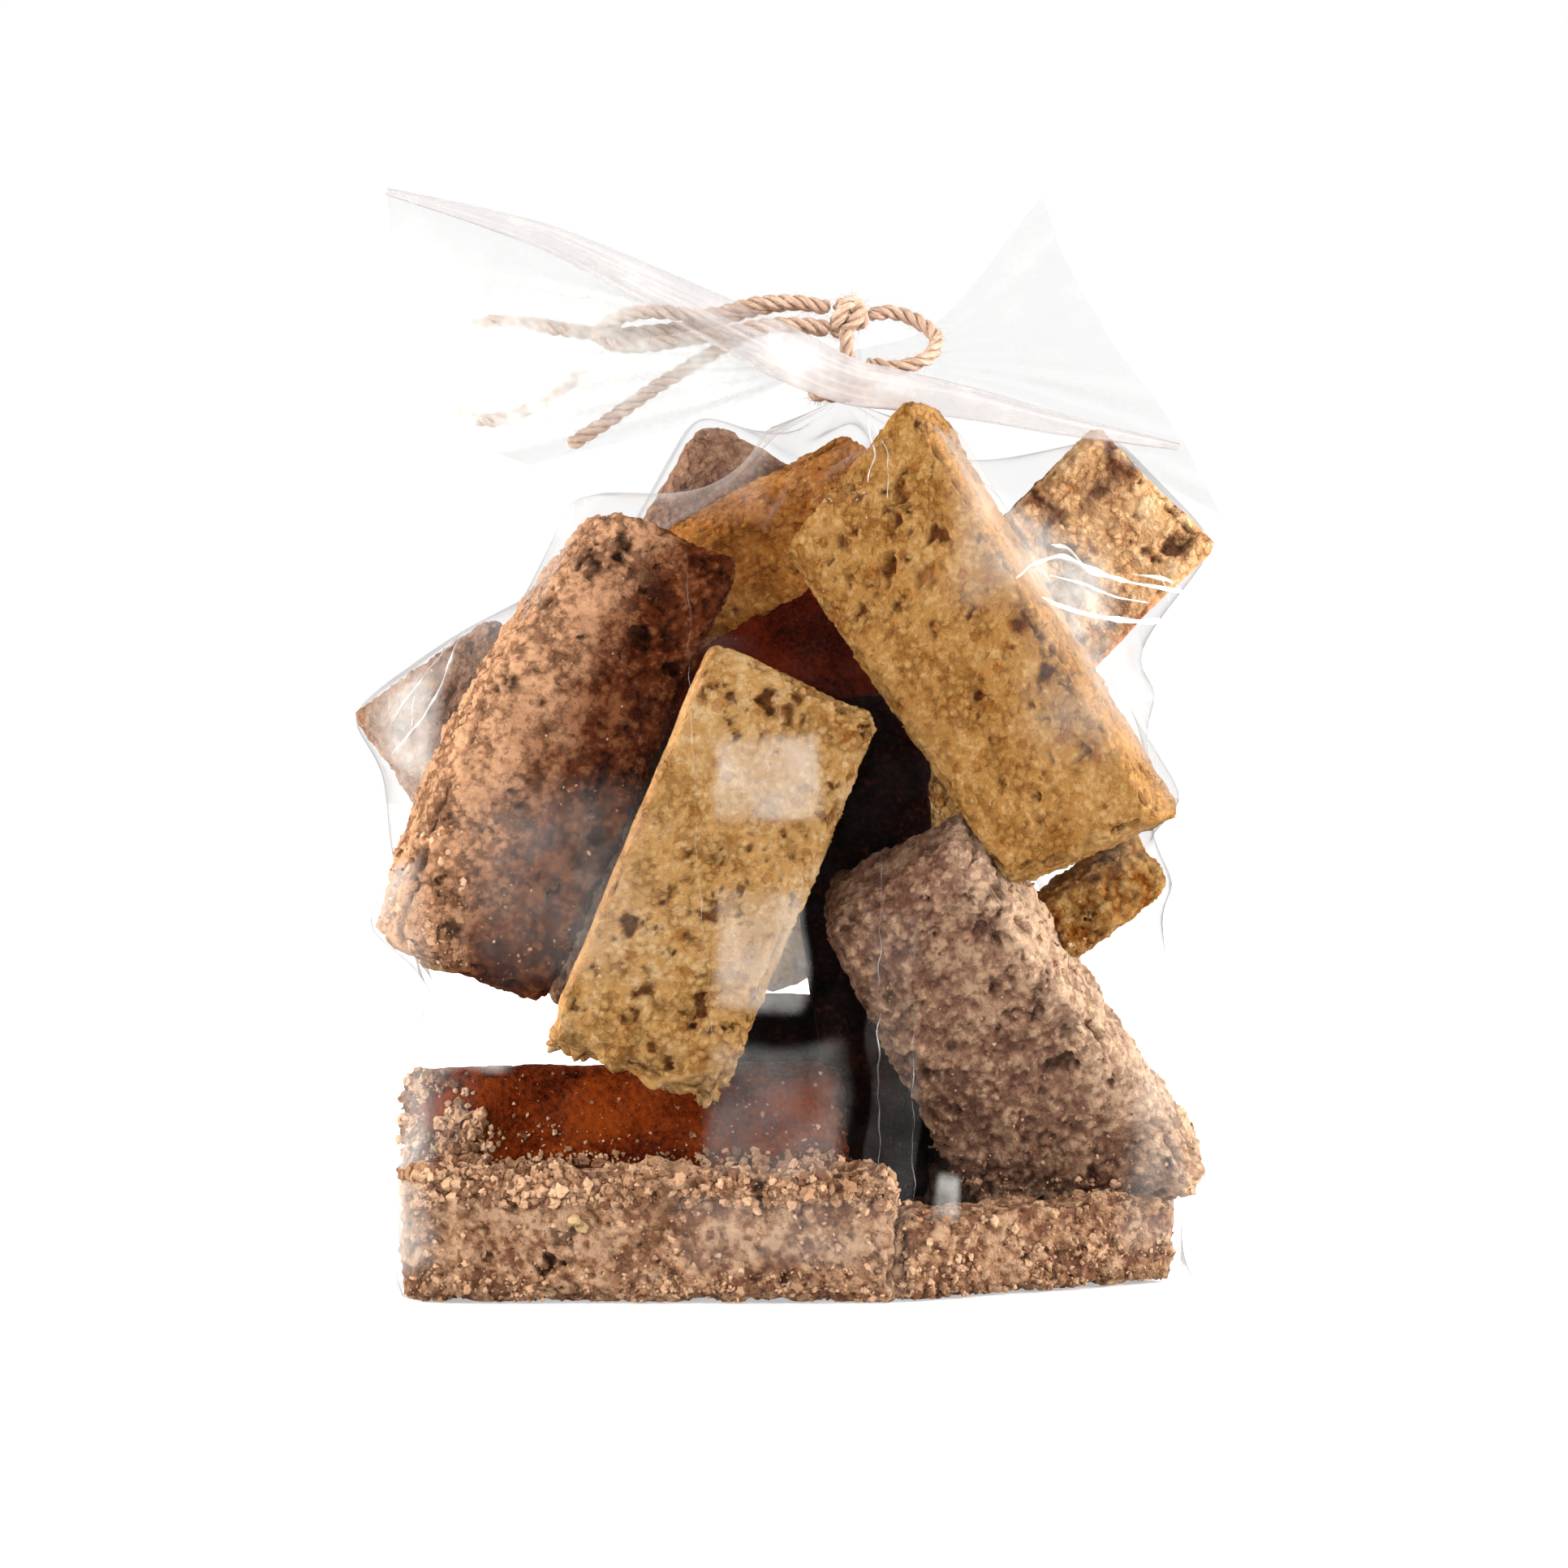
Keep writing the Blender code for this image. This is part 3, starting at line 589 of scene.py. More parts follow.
def ruskPiece(name):
    x, y, z, length, width, thickness, tilt, lean, turn = rusks[name]
    look = ruskLooks[name]
    near = name in frontRusks
    cell = ruskForm["frontCell" if near else "backCell"]
    radius = look.get("round", ruskForm["round"])
    points, normals, faces = roundedBox((width, thickness, length), radius, cell)
    across = points[:, 0] / (width / 2)
    along = points[:, 2] / (length / 2)
    if "corners" in look:
        moves = np.array(look["corners"], dtype=float)
        right, up = (across + 1) / 2, (along + 1) / 2
        weights = np.stack([(1 - right) * up, right * up, (1 - right) * (1 - up), right * (1 - up)], axis=1)
        points[:, [0, 2]] += weights @ moves
    points[:, 0] -= look.get("bulge", 0.0) * (1 - along ** 2) * np.clip(-across, 0, 1)
    seed = Vector((hashOf(name) * 97.0, hashOf(name + "b") * 71.0, 3.0))
    coarse = look.get("coarse", 0.0)
    paleFrom, paleTo = look.get("pale", (2.0, 3.0))
    moved = points.copy()
    marks = np.zeros((len(points), 4))
    for k in range(len(points)):
        spot, normal = Vector(points[k]) + seed, Vector(normals[k])
        patch = noise.noise(spot / 4.0)
        crust = max([0.0, *(normal.dot(Vector(side)) for side in look.get("crust", ()))])
        crust = within(crust * 2.2 - 0.9 + 0.6 * patch)
        rise, pit = crumbRelief(spot, coarse, look["pits"])
        soft = 1 - crust * look.get("smooth", 0.7)
        edge = min(1.0, 3.4 * (1 - max(abs(c) for c in normal)))
        chip = edge * max(0.0, noise.fractal(spot / 4.5, 0.8, 2.0, 2) + 0.15) * (2.3 + 1.2 * coarse)
        drop = 0.6 * noise.noise(spot / 16.0) - ruskForm["wear"] - chip
        drop += soft * (rise - ruskForm["pitDepth"] * pit)
        if "broken" in look:
            low = within((-along[k] - 0.74) / 0.22)
            drop -= look["broken"] * low * (1.6 + 3.6 * noise.noise(spot / 3.6))
        if "heap" in look:
            dip = 0.7 + 1.7 * wobble(spot.z / 9.0, spot.y / 9.0)
            drop -= look["heap"] * max(0.0, -normal.x) * max(0.0, dip)
            drop += chip * within(normal.x * 2.0, 0.8)
        moved[k] += normals[k] * min(drop, 0.6)
        # Paler side: partly the crumb's own tone, partly painted light where the side lamp falls.
        pale = (across[k] - paleFrom) / (paleTo - paleFrom) + 0.25 * patch
        # pit and rise go to the material, where they paint shade into the pits and the low crumb.
        marks[k] = pit * soft, crust, 0.5 + rise * 0.7, within(pale)
    turned = rotationOf(tilt, lean, turn)
    placed = moved @ np.array(turned).T + (x, y, z)
    placed[:, 2] = np.maximum(placed[:, 2], ruskForm["floor"])
    moved = (placed - (x, y, z)) @ np.array(turned)
    marks = dict(zip(("pit", "crust", "rise", "pale"), marks.T))
    material = ruskMaterial(name, look, seed)
    frameOf = Matrix.LocRotScale(Vector((x, y, z)) * mm, turned, None)
    addPiece("rusk_bag", name + "_rusk", moved, faces, material, marks, placed=frameOf)
    if near:
        shells.append((placed, faces))


def hashOf(text):
    value = 7
    for letter in text:
        value = (value * 31 + ord(letter)) % 10007
    return value / 10007


def ruskMaterial(name, look, seed):
    g = Graph(bpy.data.materials.new(name + "_crumb"))
    light, middle, dark, pitShadeAndStainColour, crustLight, crustDark, paleLitSideTone = tints(ruskKinds[look["kind"]])
    place = g.place(tuple(seed))
    coarse = look.get("coarse", 0.0)
    grain = g.noise(place, 1.1, 4.0, 0.72)
    cloud = g.noise(place, 4.5, 3.0, 0.6)
    broad = g.noise(place, 14.0, 2.0)
    scatter = grain.also("Color")
    clump = g.cells(g.moved(place, scatter, 1.6), 1.5 + 0.5 * coarse)
    chance = g.node("SeparateColor", {}, {0: clump.also("Color")})
    # The crumb's own mottle, plus painted shade: crumb sunk in the relief (rise) and at granule edges
    # (clump) is darker.
    mottleAndShade = (
        (grain - 0.5) * (1.25 + 0.65 * coarse)
        + (cloud - 0.5) * (1.0 + 0.3 * coarse)
        + (0.42 - clump) * (0.45 + 0.45 * coarse)
        + (broad - 0.5) * (0.9 + 0.5 * coarse)
        + (g.attribute("rise") - 0.5) * (0.40 + 0.4 * coarse)
        + (chance - 0.5) * 0.16
        + 0.56
    )
    crumb = g.blend(dark, middle, g.ease(mottleAndShade, -0.20 + 0.15 * coarse, 0.36 + 0.09 * coarse))
    crumb = g.blend(crumb, light, g.ease(mottleAndShade, 0.48, 1.0))
    spots = g.cells(g.moved(place, scatter, 2.4), 3.4)
    lucky = g.node("SeparateColor", {}, {0: spots.also("Color")})
    spot = g.ease(spots + (lucky.also("Green") - 0.5) * 0.2, 0.36, 0.24) * g.ease(lucky, 0.74, 0.80)
    # Painted shade in the creases between the granules.
    creaseShade = g.ease(clump, 0.40, 0.80) * g.ease(cloud + (broad - 0.5) * 0.8, 0.54, 0.40)
    crumb = g.blend(crumb, g.blend(dark, pitShadeAndStainColour, 0.3), spot * 0.5)
    crumb = g.blend(crumb, dark, creaseShade * (0.32 + 0.3 * coarse))
    # The paler side: partly its own tone, partly painted light.
    if "pale" in look:
        side = g.blend(g.blend(middle, paleLitSideTone, 0.4), paleLitSideTone, g.ease(mottleAndShade - creaseShade * 0.4, 0.1, 0.9))
        crumb = g.blend(crumb, side, g.ease(g.attribute("pale") + (grain - 0.5) * 0.3, 0.0, 1.0) * 0.85)
    if "streak" in look:
        ribbon = g.ease(abs(g.noise(place, 30.0, 2.0, 0.5, Distortion=0.3) - 0.5), 0.045, 0.0)
        crumb = g.blend(crumb, pitShadeAndStainColour, ribbon * 0.85)
    crustPart = g.ease(g.attribute("crust") + (grain - 0.5) * 0.8, 0.05, 0.9)
    if "crust" in look:
        crustTone = g.blend(crustDark, crustLight, g.ease(grain * 0.9 + broad * 0.9, 0.6, 1.15))
        crumb = g.blend(crumb, crustTone, crustPart)
    # Painted shade: the pits are darkened towards the pit colour.
    pitShade = g.ease(g.attribute("pit") + (grain - 0.5) * 0.5, 0.05, 0.65)
    colour = g.blend(crumb, pitShadeAndStainColour, pitShade * 0.6)
    height = grain * (1.3 + 0.4 * coarse) + (0.5 - clump) * 0.6 - creaseShade * 0.7
    return g.principled(colour, 0.88 - crustPart * 0.2, 0.04, Normal=g.bump(height, 0.9, 1.0))


shells = []
for name in rusks:
    ruskPiece(name)

# Where crumbs lie, as seen from the front: x from and to, z from and to, how many, sizes.
crumbs = {
    "seed": 11,
    "spread": 3,  # how much rarer the large ones are
    "sunk": 0.12,
    "deepest": 12,
    "settling": 2.0,  # how much denser they lie at the foot of each zone
    "zones": [
        (-72, 76, 0.8, 7, 1500, 0.5, 1.7),
        (-71, 22, 3, 25, 1500, 0.5, 1.8),
        (-71, 22, 19, 29, 2400, 0.6, 2.6),
        (-71, 20, 21, 28, 260, 1.4, 3.2),
        (-70, 18, 24, 44, 700, 0.3, 1.2),
        (-74, -62, 24, 44, 1100, 0.8, 3.4),
        (-74, -57, 24, 40, 900, 0.8, 3.0),
        (-73, -40, 24, 34, 500, 0.5, 2.0),
        (20, 76, 2, 24, 1900, 0.5, 2.0),
        (15, 76, 20, 60, 520, 0.4, 1.2),
        (-80, -60, 58, 90, 700, 0.5, 2.2),
        (-70, -30, 60, 140, 220, 0.4, 1.1),
        (2, 14, 149, 161, 130, 0.3, 0.9),
        (40, 62, 62, 84, 160, 0.6, 1.6),
        (16, 24, 55, 68, 30, 0.5, 1.3),
        (-76, 74, 4, 150, 900, 0.2, 0.5),
    ],
    "tones": "bd997a 947053 694632",
    "nut": ((-40.5, 16.0), 3.6, "a98e68"),
}


# The corners and faces of a ball.
def ballOf(steps):
    made = bmesh.new()
    bmesh.ops.create_icosphere(made, subdivisions=steps, radius=1.0)
    ball = np.array([vertex.co[:] for vertex in made.verts])
    sides = np.array([[vertex.index for vertex in face.verts] for face in made.faces])
    made.free()
    return ball, sides


# One crumb: a little ball with its corners pulled in and out.
def crumbShape(draw, ball, size):
    corners = ball * draw.uniform(0.45, 1.2, (len(ball), 1)) * size / 2 * draw.uniform(0.6, 1.3, 3)
    return corners @ np.array(Euler(draw.uniform(0, 6.28, 3)).to_matrix())


def crumbMaterial():
    g = Graph(bpy.data.materials.new("loose_crumb"))
    light, middle, dark = tints(crumbs["tones"])
    tone = g.attribute("tone")
    colour = g.blend(dark, middle, g.ease(tone, 0.0, 0.35))
    colour = g.blend(colour, light, g.ease(tone, 0.35, 0.9))
    colour = g.blend(colour, tint(crumbs["nut"][2]), g.ease(tone, 1.5, 1.6))
    return g.principled(colour, 0.9, 0.2)


def makeCrumbs():
    draw = np.random.default_rng(crumbs["seed"])
    points, faces = joined(shells)
    tree = BVHTree.FromPolygons(points.tolist(), faces.tolist())
    plain, fine = ballOf(1), ballOf(2)
    spots, parts, tones = [], [], []
    for left, right, bottom, top, count, small, large in crumbs["zones"]:
        for _ in range(count):
            size = small + (large - small) * draw.random() ** crumbs["spread"]
            x, z = draw.uniform(left, right), bottom + (top - bottom) * draw.random() ** crumbs["settling"]
            clump = wobble(x / 7, 5.0, z / 7) + 0.9 * wobble(x / 2.5, 9.0, z / 2.5)
            if clump > draw.uniform(-0.6, 0.5):
                spots.append((x, z, size, draw.random()))
    (nutX, nutZ), nutSize, _ = crumbs["nut"]
    spots += [(nutX, nutZ, nutSize, 2.0), (nutX + 1.6, nutZ - 1.2, nutSize * 0.7, 2.0)]
    eye = cameraEye()
    for x, z, size, tone in spots:
        hit, normal, _, _ = tree.ray_cast(eye, (Vector((x, camera["aim"][1], z)) - eye).normalized())
        if hit is None or hit.y > crumbs["deepest"]:
            continue
        ball, sides = fine if size > 1.5 else plain
        own = crumbShape(draw, ball, size) + np.array(hit) + np.array(normal) * size * crumbs["sunk"]
        own[:, 2] = np.maximum(own[:, 2], ruskForm["floor"])
        parts.append((own, sides))
        tones += [tone] * len(own)
    points, faces = joined(parts)
    print("crumbs:", len(parts), "with", len(faces), "triangles")
    addPiece("rusk_bag", "loose_crumbs", points, faces, crumbMaterial(), {"tone": tones}, smooth=False)


makeCrumbs()
print("rusks ready")


bag = {
    "baseLeft": 74.0,
    "baseRight": 78.0,
    "baseFront": 37.5,
    "baseBack": 43.0,
    "square": 7.0,  # power of the base's round corners
    "slantedSquare": 1.5,  # and of its right front one
    "clearance": 0.8,  # between the rusks and the film
    "domeStart": 118.0,
    "domeEnd": 72.0,  # degrees
    "startRadius": 100.0,
    "airDepth": 0.66,
    "neckCentre": (10.0, 0.0),
    "neckRadius": 3.4,
    "neckHeights": (169.0, 172.0, 175.0, 180.0),
    "creased": 0.3,  # from this share of the dome on
    "creaseDepth": 1.76,
    "floor": 0.15,
    "levels": [  # side rings, dome rings, points round, softenings, passes, pull
        (24, 15, 80, 1, 900, 0.12),
        (72, 45, 240, 3, 40, 0.02),
    ],
}
sideReach = [  # height, how far the air holds the film out to the left and to the right
    (0.0, 73.0, 76.5),
    (55.0, 71.5, 74.0),
    (84.0, 78.0, 70.0),
    (108.0, 80.0, 69.0),
    (118.0, 77.0, 73.0),
]


def baseReach(angle):
    c, s = cos(angle), sin(angle)
    halfX = bag["baseRight"] if c > 0 else bag["baseLeft"]
    halfY = bag["baseBack"] if s > 0 else bag["baseFront"]
    power = bag["slantedSquare"] if c > 0 and s < 0 else bag["square"]
    return ((abs(c) / halfX) ** power + (abs(s) / halfY) ** power) ** (-1 / power)


def evenAngles(count):
    fine = np.linspace(-pi, pi, 1441)
    reach = np.array([baseReach(angle) for angle in fine])
    outline = np.stack([np.cos(fine) * reach, np.sin(fine) * reach], axis=-1)
    along = alongOf(outline)
    return np.interp(np.arange(count) * along[-1] / count, along, fine)


def filmRays(sideRings, domeRings, count):
    angles = evenAngles(count)
    around = np.stack([np.cos(angles), np.sin(angles), np.zeros_like(angles)], axis=-1)
    origins, directions = [], []
    for ring in range(sideRings):
        origins.append(np.tile((0.0, 0.0, bag["domeStart"] * ring / sideRings), (count, 1)))
        directions.append(around)
    for ring in range(domeRings + 1):
        share = ring / domeRings
        rise = radians(bag["domeEnd"]) * share
        x, y = bag["neckCentre"]
        centre = (x * share, y * share, bag["domeStart"])
        origins.append(np.tile(centre, (count, 1)))
        directions.append(around * cos(rise) + np.array((0, 0, sin(rise))))
    return angles, around, np.array(origins), np.array(directions)


# How far along each ray the rusk's far side is.
def rayExit(origins, directions, rusk):
    *centre, length, width, thickness, tilt, lean, turn = rusk
    axes = np.array(rotationOf(tilt, lean, turn))
    start = (origins - centre) @ axes
    heading = directions @ axes
    heading = np.where(np.abs(heading) < 1e-9, 1e-9, heading)
    half = np.array((width, thickness, length)) / 2 + bag["clearance"]
    toLow, toHigh = (-half - start) / heading, (half - start) / heading
    enter = np.minimum(toLow, toHigh).max(axis=-1)
    leave = np.maximum(toLow, toHigh).min(axis=-1)
    return np.where((leave > enter) & (leave > 0), leave, 0.0)


def softened(values):
    rounded = (np.roll(values, 1, axis=1) + values * 2 + np.roll(values, -1, axis=1)) / 4
    padded = np.vstack([rounded[:1], rounded, rounded[-1:]])
    return (padded[:-2] + rounded * 2 + padded[2:]) / 4


def heldReach(around, origins, directions, sideRings, softenings):
    held = np.zeros(origins.shape[:2])
    for rusk in rusks.values():
        held = np.maximum(held, rayExit(origins, directions, rusk))
    heights, lefts, rights = zip(*sideReach)
    for ring in range(sideRings + 1):
        height = origins[ring, 0, 2]
        left, right = np.interp(height, heights, lefts), np.interp(height, heights, rights)
        x, y = around[:, 0], around[:, 1]
        halfX = np.where(x > 0, right, left)
        halfY = np.where(y > 0, bag["baseBack"], bag["baseFront"]) * bag["airDepth"]
        held[ring] = np.maximum(held[ring], ((x / halfX) ** 2 + (y / halfY) ** 2) ** -0.5)
    for _ in range(softenings):
        held = softened(held)
    return held


def drawnIn(reach, held, around, origins, directions, passes, pull):
    neck = around * bag["neckRadius"] + np.array((*bag["neckCentre"], bag["neckHeights"][0]))
    for _ in range(passes):
        film = np.vstack([origins + directions * reach[..., None], neck[None]])
        sides = np.roll(film, 1, axis=1) + np.roll(film, -1, axis=1)
        middle = (sides[1:-1] + film[:-2] + film[2:]) / 4
        drawn = ((middle - origins[1:]) * directions[1:]).sum(axis=-1) - pull
        reach[1:] = np.maximum(drawn, held[1:])
    return reach


# Values on the coarse grid of rings and points, read on a finer one.
def refined(values, rings, count):
    oldRings, oldCount = values.shape
    looped = np.hstack([values, values[:, :1]])
    across = np.arange(count) * oldCount / count
    wide = np.array([np.interp(across, np.arange(oldCount + 1), row) for row in looped])
    upwards = np.linspace(0, oldRings - 1, rings)
    return np.array([np.interp(upwards, np.arange(oldRings), column) for column in wide.T]).T


def filmRings():
    reach = np.full((2, 2), bag["startRadius"])
    for sideRings, domeRings, count, softenings, passes, pull in bag["levels"]:
        angles, around, origins, directions = filmRays(sideRings, domeRings, count)
        held = heldReach(around, origins, directions, sideRings, softenings)
        reach = refined(reach, sideRings + domeRings + 1, count)
        held[0] = reach[0] = [baseReach(angle) for angle in angles]
        reach = drawnIn(reach, held, around, origins, directions, passes, pull)
    for _ in range(2):
        reach[1:-1] = softened(reach)[1:-1]
    for ring in range(len(reach)):
        share = (ring - sideRings) / domeRings
        if share > bag["creased"]:
            depth = bag["creaseDepth"] * (share - bag["creased"]) ** 1.2
            reach[ring] += [depth * wobble(cos(a) * 5, sin(a) * 5, share * 0.6) for a in angles]
    rings = [origins + directions * reach[..., None]]
    spread = bag["neckRadius"] * (1 + 0.10 * np.sin(angles * 9))
    for height in bag["neckHeights"]:
        rings.append((around * spread[:, None] + np.array((*bag["neckCentre"], height)))[None])
    rings = np.vstack(rings)
    rings[..., 2] = np.maximum(rings[..., 2], bag["floor"])
    return rings


# The look of each film: how much it darkens what is behind it, its milkiness face on and at a
# slant, and its shine.
filmLook = {
    "sheen": 0.09,
    "body": {"tone": "f2f0ea", "clear": (0.985, 0.98, 0.98), "haze": 0.0015, "slant": 0.03, "shine": 0.5},
    # Folds: white milk, a painted highlight.
    "fold": {"tone": "ffffff", "clear": (0.9, 0.9, 0.9), "haze": 0.60, "slant": 0.30, "shine": 1.5},
    "rim": (0.80, 0.79, 0.79),  # seen at a slant
    "ruffle": {"tone": "c0c1bf", "clear": (0.97, 0.97, 0.97), "haze": 0.10, "slant": 0.15, "shine": 0.8},
    "mouth": {"tone": "cbc4c2", "clear": (0.945, 0.94, 0.94), "haze": 0.20, "slant": 0.10, "shine": 0.8},
}

# Painted reflections on the front of the bag, laid on as milky patches: left, right, bottom, top, strength,
# softness.
filmPaintedReflections = [
    (15, 22.8, 1, 74, 0.013, 0.8),
    (-15, 5.5, 91, 107, 0.14, 2.5),
    (-14.5, 2.5, 56, 77.5, 0.12, 2.5),
    (-16, 11, 24, 50, 0.045, 4),
    (-22, 15, 6, 21, 0.04, 5),
    (-64, -24, 58, 100, 0.04, 12),
    (-42, -2, 146, 170, 0.08, 9),
    (28, 84, 128, 168, 0.13, 10),
    (50, 81, 125, 140, 0.12, 4),
    (-88, -66, 98, 124, 0.22, 6),
    (-90, -70, 112, 165, 0.55, 9),
    (-90, -40, 142, 158, 0.35, 6),
    (-78, -52, 43, 52, 0.30, 5),
    (70, 95, 96, 150, 0.35, 8),
    (40, 90, 100, 150, 0.07, 12),
    (-86, -67, 5, 105, 0.08, 5),
    (-86, -69, 3, 30, 0.10, 8),
    (62, 90, 4, 62, 0.06, 8),
    (28, 32.5, 14, 23, 0.18, 2),
]

# Painted reflections on the wings, two of them painted white as highlights, and a milky patch where the
# film is folded over itself and hides most of the twine.
mouthPaintedReflections = [(-6, 26, 160, 182, 0.5, 6)]
wingPaintedReflections = [
    # The two marked white are painted blown-out highlights.
    (-110, -36, 150, 196, 0.40, 26, "white"),
    (-110, -56, 150, 204, 0.45, 14, "white"),
    (-60, 0, 160, 196, 0.40, 12),
    (52, 90, 146, 176, 0.20, 6),
    (26, 50, 180, 200, 0.10, 8),
]


# Thin clear film: it lets light through, shines more at a slant, and is a little milky. Painted reflections
# and painted highlights are laid on it as milk.
def filmMaterial(name, tone, clear, haze, slant, shine, patches=(), streaks=False, highlightPainted=False):
    g = Graph(bpy.data.materials.new(name))
    place = g.place()
    wave = g.noise(place, 24.0, 1.0, 0.5)
    milky = g.noise(place, 10.0, 3.0, 0.6)
    milkAndPaintedReflections = g.ease(milky, 0.42, 0.75) * (haze * 1.6) + haze * 0.4
    height = wave * 2.2 + milky * 0.35
    whiteHighlightPaint = None
    # Painted highlight: the milk is scaled by how white each fold is painted.
    if highlightPainted:
        milkAndPaintedReflections = milkAndPaintedReflections * g.attribute("white")
    if streaks:
        along, across = g.attribute("along"), g.attribute("across")
        lane = g.node("CombineXYZ", {}, {0: along / 45.0, 1: across * 7.0})
        streak = g.noise(lane, 1.0, 2.0, 0.5)
        milkAndPaintedReflections = milkAndPaintedReflections + g.ease(streak, 0.42, 0.72) * haze * 1.4
        height = height + streak * 0.8
    # Painted reflections: milky patches on the front of the film.
    if patches:
        x = g.node("SeparateXYZ", {}, {0: g.moved(place, wave.also("Color"), 8.0)})
        y, z = x.also("Y"), x.also("Z")
        front = g.ease(y, 4.0, -4.0) * g.maths("MAXIMUM", milky * 3.0 - 0.5, 0.4)
        for left, right, bottom, top, strength, soft, *whiteHighlight in patches:
            fade = max(soft, 3.0)
            inX = g.ease(x, left + 3.0, left + 3.0 + soft) * g.ease(x, right + 5.0, right + 5.0 - soft)
            inZ = g.ease(z, bottom + 3.0, bottom + 3.0 + fade) * g.ease(z, top + 5.0, top + 5.0 - fade)
            patch = inX * inZ * front * strength
            milkAndPaintedReflections = milkAndPaintedReflections + patch
            # Painted highlight: these patches turn the milk pure white.
            if whiteHighlight:
                whiteHighlightPaint = patch * 2.0 if whiteHighlightPaint is None else whiteHighlightPaint + patch * 2.0
    bump = g.bump(height, 1.0, 0.8)
    turned = g.node("LayerWeight", {}, {"Blend": 0.5, "Normal": bump}, output="Facing")
    milkAndPaintedReflections = milkAndPaintedReflections + g.ease(turned, 0.45, 0.97) * slant
    see = g.node("BsdfTransparent", {}, {"Color": (*clear, 1)})
    rim = g.node("BsdfTransparent", {}, {"Color": (*filmLook["rim"], 1)})
    through = g.mixed(g.ease(turned, 0.72, 1.0), see, rim)
    values = {"Color": (1, 1, 1, 1), "Roughness": filmLook["sheen"], "Normal": bump}
    shown = g.mixed((0.04 + 0.96 * turned**5) * shine, through, g.node("BsdfAnisotropic", {}, values))
    milk = g.node("BsdfDiffuse", {}, {"Color": tint(tone)})
    if whiteHighlightPaint is not None:
        white = g.node("BsdfDiffuse", {}, {"Color": (1, 1, 1, 1)})
        milk = g.mixed(g.maths("MINIMUM", whiteHighlightPaint, 1.0), milk, white)
    return g.finished(g.mixed(g.maths("MINIMUM", milkAndPaintedReflections, 0.9), shown, milk))


def makeFilm():
    rings = filmRings()
    rows, count = rings.shape[:2]
    bodyFilm = filmMaterial("clear_film_body", **filmLook["body"], patches=filmPaintedReflections)
    faces = gridFaces(rows, count, wrap=True)
    body = addPiece("rusk_bag", "film_body", rings.reshape(-1, 3), faces, bodyFilm)
    k = np.arange(count)
    points = np.vstack([rings[0], rings[0].mean(axis=0)])
    faces = np.stack([np.full(count, count), (k + 1) % count, k], axis=-1)
    addPiece("rusk_bag", "film_base", points, faces, filmMaterial("clear_film_base", **filmLook["body"]))
    return body


# Folds in the film as seen from the front, painted white as bright highlights: half width, how white the
# painted highlight is, then x and z along each.
folds = {
    "front seam": (0.15, 0.35, [(16.6, 20), (16.3, 55), (16.9, 84)]),
    "seam edge": (0.10, 0.2, [(22.9, 2), (22.9, 40), (23.1, 70)]),
    "left line": (0.09, 0.25, [(-13.7, 42), (-17, 80), (-18.6, 114), (-19.8, 150)]),
    "lens top": (0.85, 1.6, [(41.5, 135), (46, 138), (52, 139.8), (58, 137), (68, 134.5), (79.5, 133)]),
    "lens fold": (0.6, 1.4, [(50, 142), (53.5, 141), (57.5, 136.5)]),
    "lens bottom": (0.9, 1.5, [(46.5, 131.5), (55, 129), (65, 127.5), (73, 128), (80, 132.5)]),
    "lens cross": (0.14, 1.0, [(71.5, 137), (73.5, 133), (74.5, 129.5)]),
    "left crinkle": (0.5, 1.2, [(-63.5, 125.5), (-66, 117), (-70, 109), (-76.5, 102)]),
    "left crinkle 2": (0.24, 1.0, [(-72, 113), (-73, 107), (-75.5, 102.5)]),
    "left crinkle 3": (0.35, 0.9, [(-62, 128), (-70, 117), (-78, 106)]),
    "shoulder": (0.45, 1.2, [(-60, 139), (-52, 145), (-41, 151.5), (-38, 148)]),
    "shoulder 2": (0.20, 1.0, [(-58, 143), (-50, 149), (-45, 156), (-36, 153)]),
    "shoulder 3": (0.16, 0.9, [(-66, 132), (-60, 137), (-56, 145)]),
    "right line": (0.12, 0.5, [(71, 98), (73.5, 112), (70.5, 124)]),
    "right line 2": (0.12, 0.5, [(66, 92), (69, 106), (67, 118)]),
    "lens middle": (0.35, 1.2, [(49, 136), (56, 134.5), (63, 132), (70, 131)]),
    "lens end": (0.5, 1.3, [(66, 136.5), (73, 135.5), (79, 131.5)]),
    "neck pleat": (0.30, 0.8, [(14.5, 153), (15.5, 160), (14, 168)]),
    "neck pleat 2": (0.20, 0.6, [(18, 150), (18, 158), (15, 167)]),
}
foldForm = {
    "step": 0.8,
    "wander": 0.7,
    "lift": 0.05,
    "profile": [(-1.0, 0.02), (-0.45, 0.75), (0.45, 0.75), (1.0, 0.02)],  # across, off the film
}


